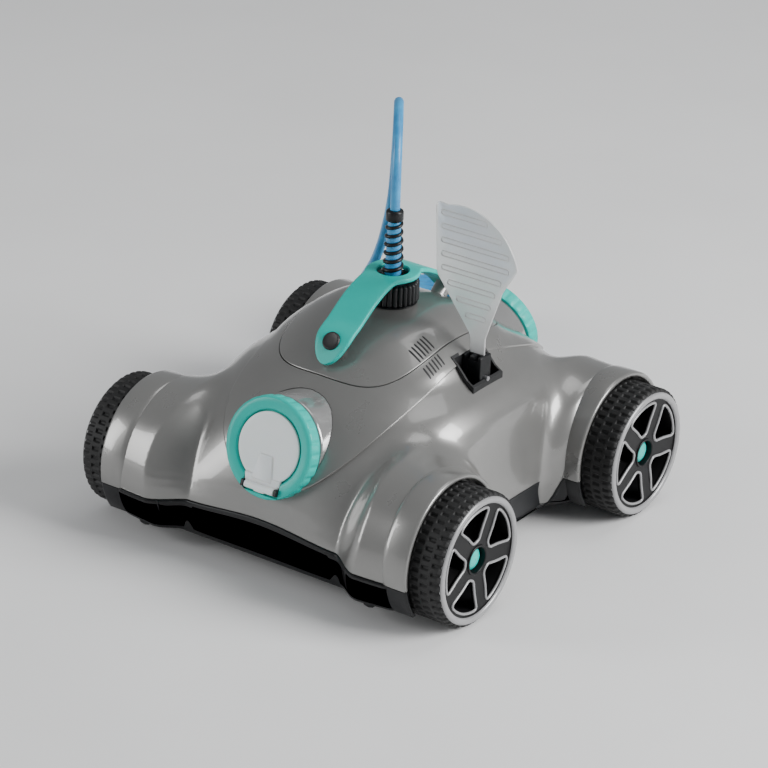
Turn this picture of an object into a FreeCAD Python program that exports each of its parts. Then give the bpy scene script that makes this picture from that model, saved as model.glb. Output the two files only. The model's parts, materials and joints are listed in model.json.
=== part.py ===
"""Wheeled jet-driven pool cleaner: every rigid piece, the pump inside it and its cable.

Millimetres. +Z is up, +Y points to the rear, X = 0 is the middle plane.
The origin is on the floor under the middle of the body.
"""
import FreeCAD
import Part
import math
import os

V = FreeCAD.Vector

# ---- driving dimensions -------------------------------------------------
# hull
HALF_LENGTH = 170.0         # middle of the front skirt to X-Z plane, at the parting line
HALF_WIDTH = 126.0          # side panel to the middle plane, at the parting line
HULL_BOTTOM = 17.0          # floor clearance
PARTING_Z = 45.0            # joint of base and upper shell
DOME_TOP = 184.0
WALL = 3.0
# wheels
WHEEL_RADIUS = 55.0
TYRE_WIDTH = 38.5
TYRE_DEPTH = 9.0
TRACK = 2 * HALF_WIDTH + 103.0      # over the outer faces of the wheels
WHEELBASE = 2 * HALF_LENGTH - 96.8
ARCH_START = HALF_WIDTH - 34.0      # where the wheel drums leave the hull
ARCH_GAP = 4.0              # tyre to the inside of its arch
ARCH_COVER = 11.0           # width of tyre that the arch covers
AXLE_RADIUS = 6.0
AXLE_BLOCK = 18.0
HUB_RADIUS = 12.5
CAP_RADIUS = 10.0
CAP_RISE = 2.0
CAP_SPHERE = 26.0
RIM_WALL = 3.0
RIM_DISC = 4.0
RIM_DISH = 3.0              # outer face of the wheel to its disc
RIM_SUNK = 13.0             # outer face of the wheel to the seat of its cap
SPOKES = 5
RUNNING = 0.05              # radial clearance of every running fit
# lid on top of the dome
LID_HALF_X = HALF_WIDTH - 60.0
LID_HALF_Y = HALF_LENGTH - 77.0
LID_CORNER = 42.0
SEAM = 0.5
LID_LEDGE = 6.0
SCREW_HOLE = 3.0
# louvre slots
VENT_X = (LID_HALF_X - 9.2, LID_HALF_X + 5.3)
VENT_Y = (47.5 - LID_HALF_Y, 44.6 - LID_HALF_Y)
VENT_LONG = (13.0, 8.6)
VENT_SLOTS = 6
VENT_PITCH = 3.7
VENT_WIDE = 1.7
VENT_SLANT = -4.0
# jet nozzles
NOZZLE_Y = HALF_LENGTH - 13.2
NOZZLE_Z = DOME_TOP - 73.0
NOZZLE_TILT = 16.0
TUBE_RADIUS = 38.0
TUBE_WALL = 3.0
TUBE_LENGTH = 92.0
TUBE_SEAT = 6.5             # how far the tube enters the ring
RING_RADIUS = TUBE_RADIUS + 3.5
RING_FRONT = 4.0
RING_BACK = 9.0
FLAP_RADIUS = TUBE_RADIUS - 9.2
FLAP_THICK = 2.6
FLAP_CLEARANCE = 1.4
FLAP_STANDOFF = 0.8
HINGE_DROP = TUBE_RADIUS - 5.5
HINGE_OUT = 4.6
HINGE_RADIUS = 1.5
KNUCKLE_RADIUS = 3.0
KNUCKLE_HALF = 14.0
HINGE_EAR = 4.0
# handle
HANDLE_WIDTH = 32.0
HANDLE_THICK = 4.0
HANDLE_FOOT_Y = LID_HALF_Y - 13.0
HANDLE_FOOT_Z = DOME_TOP - 8.4
HANDLE_TOP_Z = DOME_TOP + 26.0
HANDLE_LEAN = 50.0
RING_EYE_OUTER = 22.0
RING_EYE_HOLE = 13.0
BOLT_RADIUS = 3.9
BOLT_CAP = 8.0
POST_RADIUS = 7.0
POST_GAP = 1.2
# cable gland
NUT_RADIUS = 22.0
NUT_HEIGHT = 18.0
NUT_TOP = DOME_TOP + 19.0
NUT_BOTTOM = NUT_TOP - NUT_HEIGHT
NUT_RIBS = 24
NUT_RIB = 1.6
SOCKET_WALL = 3.5
CABLE_DIAMETER = 8.2
RELIEF_BASE = CABLE_DIAMETER / 2 + 5.4
RELIEF_TOP = CABLE_DIAMETER / 2 + 2.3
RELIEF_HEIGHT = 56.0
RELIEF_BOTTOM = DOME_TOP - 8.0
RELIEF_COLLAR = DOME_TOP + 78.0
RELIEF_RINGS = 6
RELIEF_RING = 3.4
CABLE_Y = 2.0
# steering fin
FIN_X = HALF_WIDTH - 40.0
FIN_PIVOT_Z = DOME_TOP - 41.0
FIN_THICK = 1.8
FIN_STEM = 14.0
FIN_ROOT_X = 17.6
FIN_ROOT_Y = 15.0
FIN_ROOT_UP = 19.0          # pivot to the top of the root
FIN_ROOT_DOWN = 11.0
FIN_SOCKET = 8.0
FIN_RIBS = 6
FIN_RIB_START = 62.0
FIN_RIB_PITCH = 12.5
FIN_RIB_WIDE = 1.6
FIN_RIB_HIGH = 0.7
FIN_PIN_RADIUS = 2.0
FIN_SWING = 40.0             # degrees to each side
POCKET_WALL = 2.0
POCKET_GAP = 0.7
POCKET_DEPTH = 20.0
POCKET_HALF_Y = (FIN_ROOT_Y / 2 * math.cos(math.radians(FIN_SWING))
                 + FIN_ROOT_UP * math.sin(math.radians(FIN_SWING)) + POCKET_GAP)
# pump
MOTOR_RADIUS = 27.0
MOTOR_HALF = 52.0
MOTOR_Z = NOZZLE_Z - 23.0
CAP_THICK = 7.0
SHAFT_RADIUS = 3.0
PROPELLER_RADIUS = TUBE_RADIUS - 11.0
PROPELLER_Y = NOZZLE_Y - 78.8
PROPELLER_HUB = 7.0
PROPELLER_HALF = 6.0
BLADES = 4
BLADE_PITCH = 28.0
CRADLE_THICK = 8.0
# filter trays in the floor
TRAY_IN = 30.0
TRAY_OUT = ARCH_START + 18.0
TRAY_HALF_Y = HALF_LENGTH - 82.0
TRAY_GAP = 0.6
BASKET_TOP = PARTING_Z + 17.0
BASKET_MARGIN = 5.0
BASKET_WALL = 2.0
WINDOW_HALF = 22.0
WINDOW_PITCH = 54.0
CLOTH = 0.8
PORT_X = 40.0
PORT_Y = 60.0
# suction flaps over the intake ports
FLAP_PIN = 1.2
FLAP_BARREL = 2.0
FLAP_LEAF = 1.6
FLAP_LAP = 4.0
FLAP_EAR = 2.6
# corner latches
LATCH_WIDTH = 22.0
LATCH_THICK = 4.0
LATCH_DROP = 1.0            # parting line to the top of the latch
LATCH_RISE = 2.0            # hull bottom to the foot of the latch
LATCH_SUNK = 7.6            # latch face behind the front of its drum
LATCH_FOOT = 6.0            # bottom of its recess under the latch
LATCH_PIN = 1.2
LATCH_GAP = 0.6
LATCH_STUD = 4.5
LATCH_BACKING = 3.0
# spare cable and its plug
COIL_X = -HALF_WIDTH - 28.0
COIL_CLEAR = 8.7            # wheel arch to the coil
COIL_MEAN = 6 * CABLE_DIAMETER
COIL_WIDE = 5
COIL_LAYERS = 6
PLUG_RADIUS = CABLE_DIAMETER / 2 + 4.9
PLUG_LONG = 38.0
PIN_RADIUS = 1.2
PIN_SPREAD = 2.4

AXLE_Z = WHEEL_RADIUS
AXLE_Y = WHEELBASE / 2
WHEEL_OUT = TRACK / 2
WHEEL_IN = WHEEL_OUT - TYRE_WIDTH
ARCH_INNER = WHEEL_RADIUS + ARCH_GAP
ARCH_OUTER = ARCH_INNER + WALL
ARCH_EDGE = WHEEL_IN + ARCH_COVER
ARCH_WEB = WHEEL_IN - ARCH_GAP
FIN_ROOT_TOP = FIN_PIVOT_Z + FIN_ROOT_UP
FLAP_HALF_Y = PORT_Y / 2 + FLAP_LAP
FLAP_SEAT_Z = HULL_BOTTOM + WALL + 0.4
FLAP_AXIS_Z = FLAP_SEAT_Z + FLAP_BARREL
LATCH_X = ARCH_WEB - 24.0
LATCH_TOP = PARTING_Z - LATCH_DROP
LATCH_BOTTOM = HULL_BOTTOM + LATCH_RISE
LATCH_FACE_Y = AXLE_Y + ARCH_OUTER - LATCH_SUNK
COIL_TOP = COIL_LAYERS * CABLE_DIAMETER
COIL_OUTER = COIL_MEAN + COIL_WIDE / 2 * CABLE_DIAMETER
COIL_Y = AXLE_Y + ARCH_OUTER + COIL_CLEAR + COIL_OUTER
FAR = 300.0                 # beyond the object on every side

# Each level of the hull: share of the way from the parting line to the dome's
# top, half width and half length less than at the parting line, corner radius.
HULL_LEVELS = [
    (0.0, 0.0, 0.0, 30.0),
    (0.3237, 4.0, 10.0, 40.0),
    (0.4820, 7.0, 31.0, 45.0),
    (0.6115, 13.0, 54.0, 48.0),
    (0.6763, 24.0, 67.0, 48.0),
    (0.7266, 35.0, 73.0, 46.0),
    (0.8058, 45.0, 87.0, 42.0),
    (0.8705, 55.0, 100.0, 38.0),
    (0.9353, 68.0, 116.0, 32.0),
    (0.9712, 79.0, 130.0, 26.0),
    (1.0, 104.0, 150.0, 14.0),
]
KEEL_INSET = 4.0
KEEL_CORNER = 28.0

# The fin's outline, from the pivot: along X and up.
FIN_OUTLINE = [(-7.0, 33.0), (-42.0, 78.0), (-45.0, 129.0), (-37.0, 138.0),
               (34.0, 99.0), (21.0, 76.0), (7.0, 33.0)]
FIN_TIP_BENDS = [(-43.5, 135.5), (12.0, 130.6)]

# The handle's upper face from foot to middle: along Y from the foot, up from the foot.
HANDLE_RISE = [(-11.0, -16.0), (0.0, 0.0), (18.0, 12.4), (39.0, 25.9), (58.0, 33.4)]

# The cable's corners from the gland to the coil: share of the way across to it,
# share of the way back to the rear axle, how far beyond that axle, and share of
# the way down from the collar to the coil's top.
CABLE_CORNERS = [
    (0.0, 0.0, 0.0, 0.0), (0.0, 0.0, 0.0, -0.188), (0.107, 0.199, 0.0, -0.324), (0.258, 0.481, 0.0, -0.324),
    (0.373, 0.694, 0.0, -0.183), (0.453, 0.829, 0.0, 0.009), (0.533, 0.956, 0.0, 0.221),
    (0.645, 1.0, 9.8, 0.423), (0.782, 1.0, 28.0, 0.588), (0.937, 1.0, 46.8, 0.719),
    (1.085, 1.0, 63.8, 0.861), (1.224, 1.0, 80.7, 0.969),
]
COIL_ENTRY = 210.0          # where the cable joins the coil, degrees round it
LEAD_BENDS = [(2.93 * CABLE_DIAMETER, 0.0), (4.88 * CABLE_DIAMETER, 4.4)]

SIDES = (("left", -1), ("right", 1))
ENDS = (("front", -1), ("rear", 1))


# ---- helpers --------------------------------------------------------------
def box(x0, x1, y0, y1, z0, z1):
    return Part.makeBox(x1 - x0, y1 - y0, z1 - z0, V(x0, y0, z0))


def cylinder_x(radius, x0, x1, y, z):
    return Part.makeCylinder(radius, x1 - x0, V(x0, y, z), V(1, 0, 0))


def cylinder_y(radius, y0, y1, x, z):
    return Part.makeCylinder(radius, y1 - y0, V(x, y0, z), V(0, 1, 0))


def cylinder_z(radius, z0, z1, x=0.0, y=0.0):
    return Part.makeCylinder(radius, z1 - z0, V(x, y, z0), V(0, 0, 1))


def mirror_y(shape):
    return shape.mirror(V(0, 0, 0), V(0, 1, 0))


def mirror_x(shape):
    return shape.mirror(V(0, 0, 0), V(1, 0, 0))


def fused(shapes):
    whole = shapes[0]
    for piece in shapes[1:]:
        whole = whole.fuse(piece)
    return whole.removeSplitter()


def rounded_rectangle(half_x, half_y, radius, z):
    """A closed wire of four lines and four arcs around the Z axis."""
    edges = []
    lean = radius * math.sqrt(0.5)
    for turn in range(4):
        angle = math.radians(90 * turn)
        hx, hy = (half_x, half_y) if turn % 2 == 0 else (half_y, half_x)

        def at(x, y):
            return V(x * math.cos(angle) - y * math.sin(angle),
                     x * math.sin(angle) + y * math.cos(angle), z)

        edges.append(Part.LineSegment(at(hx, radius - hy), at(hx, hy - radius)).toShape())
        edges.append(Part.Arc(at(hx, hy - radius),
                              at(hx - radius + lean, hy - radius + lean),
                              at(hx - radius, hy)).toShape())
    return Part.Wire(edges)


def prism(half_x, half_y, radius, z0, z1):
    face = Part.Face(rounded_rectangle(half_x, half_y, radius, z0))
    return face.extrude(V(0, 0, z1 - z0))


def body_solid(inset):
    """The hull's outer form, or the same form moved inwards by inset."""
    wires = []
    wires.append(rounded_rectangle(HALF_WIDTH - KEEL_INSET - inset, HALF_LENGTH - KEEL_INSET - inset,
                                   KEEL_CORNER - inset, HULL_BOTTOM - inset))
    for share, less_x, less_y, corner in HULL_LEVELS:
        z = PARTING_Z + share * (DOME_TOP - PARTING_Z) - inset
        wires.append(rounded_rectangle(HALF_WIDTH - less_x - inset, HALF_LENGTH - less_y - inset,
                                       max(corner - inset, 4.0), z))
    return Part.makeLoft(wires, True, True)


def arch_solids(radius, x_in, x_out):
    """A drum round each of the four wheel axes, between two planes."""
    drums = []
    for _, side in SIDES:
        for _, end in ENDS:
            low, high = sorted((side * x_in, side * x_out))
            drums.append(cylinder_x(radius, low, high, end * AXLE_Y, AXLE_Z))
    return drums


def hull_shell():
    """The hollow hull with its wheel arches, from the floor of the base up."""
    outer = fused([body_solid(0)] + arch_solids(ARCH_OUTER, ARCH_START, ARCH_EDGE))
    outer = outer.common(box(-FAR, FAR, -FAR, FAR, HULL_BOTTOM, FAR))
    inner = fused([body_solid(WALL)] + arch_solids(ARCH_OUTER - WALL, ARCH_START + WALL,
                                                   ARCH_WEB - WALL))
    inner = inner.common(box(-FAR, FAR, -FAR, FAR, HULL_BOTTOM + WALL, FAR))
    shell = outer.cut(inner)
    for drum in arch_solids(ARCH_INNER, ARCH_WEB, ARCH_EDGE + 10):
        shell = shell.cut(drum)
    return shell


# ---- jet nozzle frame -------------------------------------------------------
TILT = math.radians(NOZZLE_TILT)
OUT = V(0, -math.cos(TILT), math.sin(TILT))       # out of the front nozzle
UP = V(0, math.sin(TILT), math.cos(TILT))         # up its face
NOZZLE = V(0, -NOZZLE_Y, NOZZLE_Z)


def on_nozzle(x, up, out):
    return NOZZLE + V(x, 0, 0) + UP * up + OUT * out


def nozzle_disc(radius, out0, out1, up=0.0):
    return Part.makeCylinder(radius, out1 - out0, on_nozzle(0, up, out0), OUT)


def nozzle_block(x0, x1, up0, up1, out0, out1):
    corners = [on_nozzle(x0, up0, out0), on_nozzle(x1, up0, out0),
               on_nozzle(x1, up1, out0), on_nozzle(x0, up1, out0)]
    face = Part.Face(Part.makePolygon(corners + corners[:1]))
    return face.extrude(OUT * (out1 - out0))


def hinge_bar(radius, half):
    start = on_nozzle(-half, -HINGE_DROP, HINGE_OUT)
    return Part.makeCylinder(radius, 2 * half, start, V(1, 0, 0))


def jet_tube():
    tube = nozzle_disc(TUBE_RADIUS, -TUBE_LENGTH, TUBE_SEAT - RING_BACK)
    return tube.cut(nozzle_disc(TUBE_RADIUS - TUBE_WALL, -TUBE_LENGTH - 1, 0))


def nozzle_ring():
    ring = nozzle_disc(RING_RADIUS, -RING_BACK, RING_FRONT)
    ring = ring.cut(nozzle_disc(TUBE_RADIUS + RUNNING, -RING_BACK - 1, TUBE_SEAT + 0.3 - RING_BACK))
    ring = ring.cut(nozzle_disc(FLAP_RADIUS - 3.0, -RING_BACK - 1, RING_FRONT + 1))
    ring = ring.cut(nozzle_disc(FLAP_RADIUS + FLAP_CLEARANCE, 0.5, RING_FRONT + 1))
    reach = KNUCKLE_HALF + 0.5
    pocket = nozzle_block(-reach, reach, -HINGE_DROP - 4.5, -20, 0.5, RING_FRONT + 6)
    ears = []
    for low, high in ((-reach - HINGE_EAR, -reach), (reach, reach + HINGE_EAR)):
        ear = nozzle_block(low, high, -HINGE_DROP - 3, -HINGE_DROP + 3, 0.5, HINGE_OUT + 2.6)
        ears.append(ear)
    return fused([ring.cut(pocket)] + ears + [hinge_bar(HINGE_RADIUS, reach + 3)])


def flap():
    face = FLAP_STANDOFF + FLAP_THICK
    disc = nozzle_disc(FLAP_RADIUS, FLAP_STANDOFF, face)
    notch = nozzle_block(-RING_RADIUS, RING_RADIUS, -RING_RADIUS, -FLAP_RADIUS + 2.0, 0, 9)
    neck = nozzle_block(-11, 11, -HINGE_DROP, -FLAP_RADIUS + 3.5, 2 * FLAP_STANDOFF, face)
    low, high = on_nozzle(0, 3 - FLAP_RADIUS, 0), on_nozzle(0, -4, 0)
    tab = []
    for half, centre in ((9.5, low), (6.0, high)):
        tab.append(centre + V(-half, 0, 0) + OUT * 3.0)
        tab.append(centre + V(half, 0, 0) + OUT * 3.0)
    emboss = Part.Face(Part.makePolygon([tab[0], tab[1], tab[3], tab[2], tab[0]]))
    body = fused([disc.cut(notch), neck, hinge_bar(KNUCKLE_RADIUS, KNUCKLE_HALF),
                  emboss.extrude(OUT * 1.4)])
    return body.cut(hinge_bar(HINGE_RADIUS + RUNNING, KNUCKLE_HALF + 1))


# ---- hull pieces --------------------------------------------------------------
def pocket_box(grow):
    return box(FIN_X - FIN_ROOT_X / 2 - POCKET_GAP - POCKET_WALL - grow,
               FIN_X + FIN_ROOT_X / 2 + POCKET_GAP + POCKET_WALL + grow,
               -POCKET_HALF_Y - POCKET_WALL - grow, POCKET_HALF_Y + POCKET_WALL + grow,
               FIN_PIVOT_Z - POCKET_DEPTH - grow, DOME_TOP)


def vents(z0, z1):
    """Two groups of slanted louvre slots, one each side of the lid's seam."""
    slots = []
    for centre_x, centre_y, long in zip(VENT_X, VENT_Y, VENT_LONG):
        for step in range(VENT_SLOTS):
            slot = box(centre_x - long / 2, centre_x + long / 2,
                       -VENT_WIDE / 2, VENT_WIDE / 2, z0, z1)
            slot.rotate(V(centre_x, 0, 0), V(0, 0, 1), VENT_SLANT)
            slot.translate(V(0, centre_y + VENT_PITCH * step, 0))
            slots.append(slot)
    return slots


def upper_shell(shell):
    top = shell.common(box(-FAR, FAR, -FAR, FAR, PARTING_Z, FAR))
    top = top.cut(prism(LID_HALF_X + SEAM, LID_HALF_Y + SEAM, LID_CORNER, AXLE_Z, FAR))
    ledge = body_solid(WALL).cut(body_solid(2 * WALL))
    ledge = ledge.common(prism(LID_HALF_X + LID_LEDGE, LID_HALF_Y + LID_LEDGE, LID_CORNER, AXLE_Z, FAR))
    ledge = ledge.cut(prism(LID_HALF_X - LID_LEDGE, LID_HALF_Y - LID_LEDGE, LID_CORNER, AXLE_Z, FAR))
    top = fused([top, ledge])
    for turn in (lambda s: s, mirror_y):
        top = top.cut(turn(nozzle_disc(TUBE_RADIUS + 0.2, -TUBE_LENGTH, 40)))
        top = top.cut(turn(nozzle_disc(RING_RADIUS + 1.0, -RING_BACK - 1, 40)))
    top = top.cut(pocket_box(0.1))
    for slot in vents(DOME_TOP - 64, FAR):
        top = top.cut(slot)
    for drum in arch_solids(AXLE_RADIUS + 2, ARCH_WEB - 2 * WALL, ARCH_WEB + 5):
        top = top.cut(drum)
    return top


def top_cover(shell):
    lid = shell.common(prism(LID_HALF_X, LID_HALF_Y, LID_CORNER, AXLE_Z, FAR))
    lid = lid.cut(pocket_box(0.1))
    for slot in vents(DOME_TOP - 64, FAR):
        lid = lid.cut(slot)
    lid = lid.cut(cylinder_z(RELIEF_BASE + SOCKET_WALL + 0.5, AXLE_Z, FAR, 0, CABLE_Y))
    for end in (-1, 1):
        lid = lid.cut(cylinder_z(SCREW_HOLE, AXLE_Z, FAR, 0, end * HANDLE_FOOT_Y))
    return lid


def fin_pocket(outer):
    cup = pocket_box(0).common(outer)
    well = box(FIN_X - FIN_ROOT_X / 2 - POCKET_GAP, FIN_X + FIN_ROOT_X / 2 + POCKET_GAP,
               -POCKET_HALF_Y, POCKET_HALF_Y, FIN_PIVOT_Z - POCKET_DEPTH + POCKET_WALL, FAR)
    return cup.cut(well).cut(cylinder_x(FIN_PIN_RADIUS, FIN_X - 30, FIN_X + 30, 0, FIN_PIVOT_Z))


def base_shell(shell):
    skin = fused(arch_solids(ARCH_OUTER, ARCH_START, ARCH_EDGE))
    skin = skin.common(box(-FAR, FAR, -FAR, FAR, HULL_BOTTOM, PARTING_Z))
    base = shell.common(box(-FAR, FAR, -FAR, FAR, HULL_BOTTOM, PARTING_Z))
    for _, side in SIDES:
        low, high = sorted((side * (TRAY_IN - TRAY_GAP), side * (TRAY_OUT + TRAY_GAP)))
        base = base.cut(box(low, high, -TRAY_HALF_Y - TRAY_GAP, TRAY_HALF_Y + TRAY_GAP, 0, 30))
    blocks = []
    for _, side in SIDES:
        for _, end in ENDS:
            low, high = sorted((side * (ARCH_WEB - WALL - AXLE_BLOCK), side * (ARCH_WEB - WALL)))
            y0, y1 = end * AXLE_Y - 2 * AXLE_RADIUS, end * AXLE_Y + 2 * AXLE_RADIUS
            block = box(low, high, y0, y1, HULL_BOTTOM + WALL, AXLE_Z + 2 * AXLE_RADIUS)
            bore = cylinder_x(AXLE_RADIUS, low - 1, high + 1, end * AXLE_Y, AXLE_Z)
            blocks.append(block.cut(bore))
    base = fused([base] + blocks)
    for drum in arch_solids(AXLE_RADIUS + 2, ARCH_WEB - WALL + RUNNING, ARCH_WEB + 5):
        base = base.cut(drum)
    for pin in arch_solids(AXLE_RADIUS, ARCH_WEB - WALL - AXLE_BLOCK, ARCH_WEB + 5):
        base = base.cut(pin)
    for _, side in SIDES:
        for _, end in ENDS:
            margin = LATCH_GAP + LATCH_BACKING
            backing = latch_box(side, end, margin, LATCH_THICK + margin).common(skin)
            base = fused([base, backing])
            base = base.cut(latch_box(side, end, LATCH_GAP, LATCH_THICK + LATCH_GAP))
            reach = LATCH_WIDTH / 2 + LATCH_BACKING + 0.2
            base = base.cut(latch_bar(side, end, LATCH_PIN + RUNNING, reach))
    return base


def latch_box(side, end, margin, back):
    """A box over a corner latch, margin wider and reaching back behind its face."""
    low, high = sorted((end * (LATCH_FACE_Y + 20), end * (LATCH_FACE_Y - back)))
    half = LATCH_WIDTH / 2 + margin
    foot = LATCH_BOTTOM - LATCH_FOOT
    return box(side * LATCH_X - half, side * LATCH_X + half, low, high, foot, LATCH_TOP + LATCH_GAP)


def latch_bar(side, end, radius, half):
    """A bar on a corner latch's hinge axis."""
    centre = side * LATCH_X
    return cylinder_x(radius, centre - half, centre + half,
                      end * (LATCH_FACE_Y - LATCH_THICK / 2), LATCH_TOP - LATCH_THICK / 2)


def corner_latch(side, end):
    """A thumb latch with a half-round stud under it, hinged at its top edge."""
    low, high = sorted((end * LATCH_FACE_Y, end * (LATCH_FACE_Y - LATCH_THICK)))
    half = LATCH_WIDTH / 2
    centre = side * LATCH_X
    plate = box(centre - half, centre + half, low, high, LATCH_BOTTOM, LATCH_TOP - LATCH_THICK / 2)
    stud = cylinder_y(LATCH_STUD, low, high, centre, LATCH_BOTTOM)
    return fused([plate, stud, latch_bar(side, end, LATCH_THICK / 2, half),
                  latch_bar(side, end, LATCH_PIN, half + LATCH_BACKING)])


# ---- handle and cable gland --------------------------------------------------------
def handle():
    """A strap arched from front to rear, with an eye for the cable in its middle."""
    points = [V(0, along - HANDLE_FOOT_Y, HANDLE_FOOT_Z + up) for along, up in HANDLE_RISE]
    points.append(V(0, 0, HANDLE_TOP_Z))
    foot = points[0]
    points += [V(0, -p.y, p.z) for p in reversed(points[:-1])]
    curve = Part.BSplineCurve()
    curve.interpolate(points)
    upper = curve.toShape()
    lower = upper.copy()
    lower.translate(V(0, 0, -HANDLE_THICK / math.cos(math.radians(HANDLE_LEAN / 2))))
    ends = [Part.LineSegment(points[0], lower.Vertexes[0].Point).toShape(),
            Part.LineSegment(points[-1], lower.Vertexes[-1].Point).toShape()]
    profile = Part.Face(Part.Wire(Part.__sortEdges__([upper, lower] + ends)))
    profile.translate(V(-RING_EYE_OUTER, 0, 0))
    strap = profile.extrude(V(2 * RING_EYE_OUTER, 0, 0))
    half = HANDLE_WIDTH / 2
    tip = abs(foot.y) - half * 0.6
    outline = [cylinder_z(RING_EYE_OUTER, AXLE_Z, FAR), box(-half, half, -tip, tip, AXLE_Z, FAR)]
    outline += [cylinder_z(half, AXLE_Z, FAR, 0, end * tip).common(
        box(-half, half, -abs(foot.y), abs(foot.y), AXLE_Z, FAR)) for end in (-1, 1)]
    strap = strap.common(fused(outline))
    strap = strap.cut(cylinder_z(RING_EYE_HOLE, AXLE_Z, FAR, 0, CABLE_Y))
    for end in (-1, 1):
        strap = strap.cut(foot_axis_cylinder(BOLT_RADIUS + 0.1, end, -30, 30))
    return strap


def foot_axis_cylinder(radius, end, low, high):
    """A cylinder square to the handle's foot, which leans outwards."""
    lean = math.radians(HANDLE_LEAN)
    normal = V(0, end * math.sin(lean), math.cos(lean))
    start = V(0, end * HANDLE_FOOT_Y, HANDLE_FOOT_Z) + normal * low
    return Part.makeCylinder(radius, high - low, start, normal)


def handle_bolts():
    """Bolts through the feet, each with a wide cap, and a spacer down to the lid."""
    bolts = []
    for end in (-1, 1):
        bolts.append(fused([foot_axis_cylinder(BOLT_CAP, end, 0.6, 2.4),
                            foot_axis_cylinder(BOLT_RADIUS, end, -6.0, 0.7)]))
    return bolts


def handle_feet(outer):
    feet = []
    for end in (-1, 1):
        post = foot_axis_cylinder(POST_RADIUS, end, -30, -HANDLE_THICK - POST_GAP)
        post = post.cut(outer)
        post = max(post.Solids, key=lambda solid: solid.CenterOfMass.z)
        feet.append(post.cut(foot_axis_cylinder(BOLT_RADIUS, end, -6.0, 5)))
    return feet


def cable_socket():
    """The threaded socket on the lid, under the nut."""
    neck = cylinder_z(RELIEF_BASE + SOCKET_WALL, DOME_TOP - 12, NUT_TOP - 4, 0, CABLE_Y)
    collar = cylinder_z(NUT_RADIUS - 1, DOME_TOP, NUT_BOTTOM - 0.3, 0, CABLE_Y)
    socket = fused([neck, collar])
    return socket.cut(cylinder_z(RELIEF_BASE, DOME_TOP - 13, NUT_TOP, 0, CABLE_Y))


def gland_nut():
    """A ribbed ring nut that turns on the socket."""
    core = NUT_RADIUS - NUT_RIB
    nut = cylinder_z(core, NUT_BOTTOM, NUT_TOP, 0, CABLE_Y)
    ribs = []
    for step in range(NUT_RIBS):
        angle = 2 * math.pi * step / NUT_RIBS
        ribs.append(cylinder_z(NUT_RIB, NUT_BOTTOM + 1, NUT_TOP - NUT_RIB, core * math.cos(angle),
                               CABLE_Y + core * math.sin(angle)))
    nut = fused([nut] + ribs)
    bore = RELIEF_BASE + SOCKET_WALL + RUNNING
    nut = nut.cut(cylinder_z(bore, NUT_BOTTOM - 1, NUT_TOP - 3.5, 0, CABLE_Y))
    return nut.cut(cylinder_z(RELIEF_BASE + 1.0, NUT_BOTTOM, NUT_TOP + 1, 0, CABLE_Y))


def strain_relief():
    """A tapered sleeve with raised rings and a collar at its top."""
    plug = cylinder_z(RELIEF_BASE, RELIEF_BOTTOM, NUT_TOP + 3, 0, CABLE_Y)
    cone = Part.makeCone(RELIEF_BASE - 1.2, RELIEF_TOP - 1.2, RELIEF_HEIGHT - 6,
                         V(0, CABLE_Y, NUT_TOP + 3), V(0, 0, 1))
    pieces = [plug, cone, cylinder_z(RELIEF_TOP + 0.8, RELIEF_COLLAR - 8, RELIEF_COLLAR, 0, CABLE_Y)]
    for step in range(RELIEF_RINGS):
        share = (step + 0.5) / RELIEF_RINGS
        radius = RELIEF_BASE + (RELIEF_TOP - RELIEF_BASE) * share
        z = NUT_TOP + 4 + share * (RELIEF_HEIGHT - 10)
        pieces.append(cylinder_z(radius, z - RELIEF_RING / 2, z + RELIEF_RING / 2, 0, CABLE_Y))
    return fused(pieces)


# ---- fin ------------------------------------------------------------------------
def fin_blade():
    """A clear paddle in the X-Z plane, with pairs of thin ribs across it."""
    low = FIN_ROOT_TOP - FIN_SOCKET
    p = [V(FIN_X + along, 0, FIN_PIVOT_Z + up) for along, up in FIN_OUTLINE]
    bends = [V(FIN_X + along, 0, FIN_PIVOT_Z + up) for along, up in FIN_TIP_BENDS]
    foot = [V(FIN_X + FIN_STEM / 2, 0, low), V(FIN_X - FIN_STEM / 2, 0, low)]
    edges = [Part.LineSegment(a, b).toShape() for a, b in zip(foot[1:] + p[:2], p[:3])]
    edges.append(Part.Arc(p[2], bends[0], p[3]).toShape())
    edges.append(Part.Arc(p[3], bends[1], p[4]).toShape())
    edges += [Part.LineSegment(a, b).toShape() for a, b in zip(p[4:] + foot[:1], p[5:] + foot)]
    face = Part.Face(Part.Wire(edges))
    face.translate(V(0, -FIN_THICK / 2, 0))
    blade = face.extrude(V(0, FIN_THICK, 0))
    ribs = []
    tall = face.copy()
    tall.translate(V(0, -FIN_RIB_HIGH, 0))
    tall = tall.extrude(V(0, FIN_THICK + 2 * FIN_RIB_HIGH, 0))
    for step in range(FIN_RIBS):
        z = FIN_PIVOT_Z + FIN_RIB_START + FIN_RIB_PITCH * step
        ribs.append(box(0, FAR, -FIN_THICK, FIN_THICK, z, z + FIN_RIB_WIDE).common(tall))
    return fused([blade] + ribs)


def fin_root():
    half_x, half_y = FIN_ROOT_X / 2, FIN_ROOT_Y / 2
    low = FIN_PIVOT_Z - FIN_ROOT_DOWN
    block = box(FIN_X - half_x, FIN_X + half_x, -half_y, half_y, low, FIN_ROOT_TOP)
    stem, thick = FIN_STEM / 2 + 0.1, FIN_THICK / 2 + FIN_RIB_HIGH
    slot = box(FIN_X - stem, FIN_X + stem, -thick, thick, FIN_ROOT_TOP - FIN_SOCKET, FAR)
    bore = cylinder_x(FIN_PIN_RADIUS + RUNNING, FIN_X - 30, FIN_X + 30, 0, FIN_PIVOT_Z)
    return block.cut(slot).cut(bore)


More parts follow.
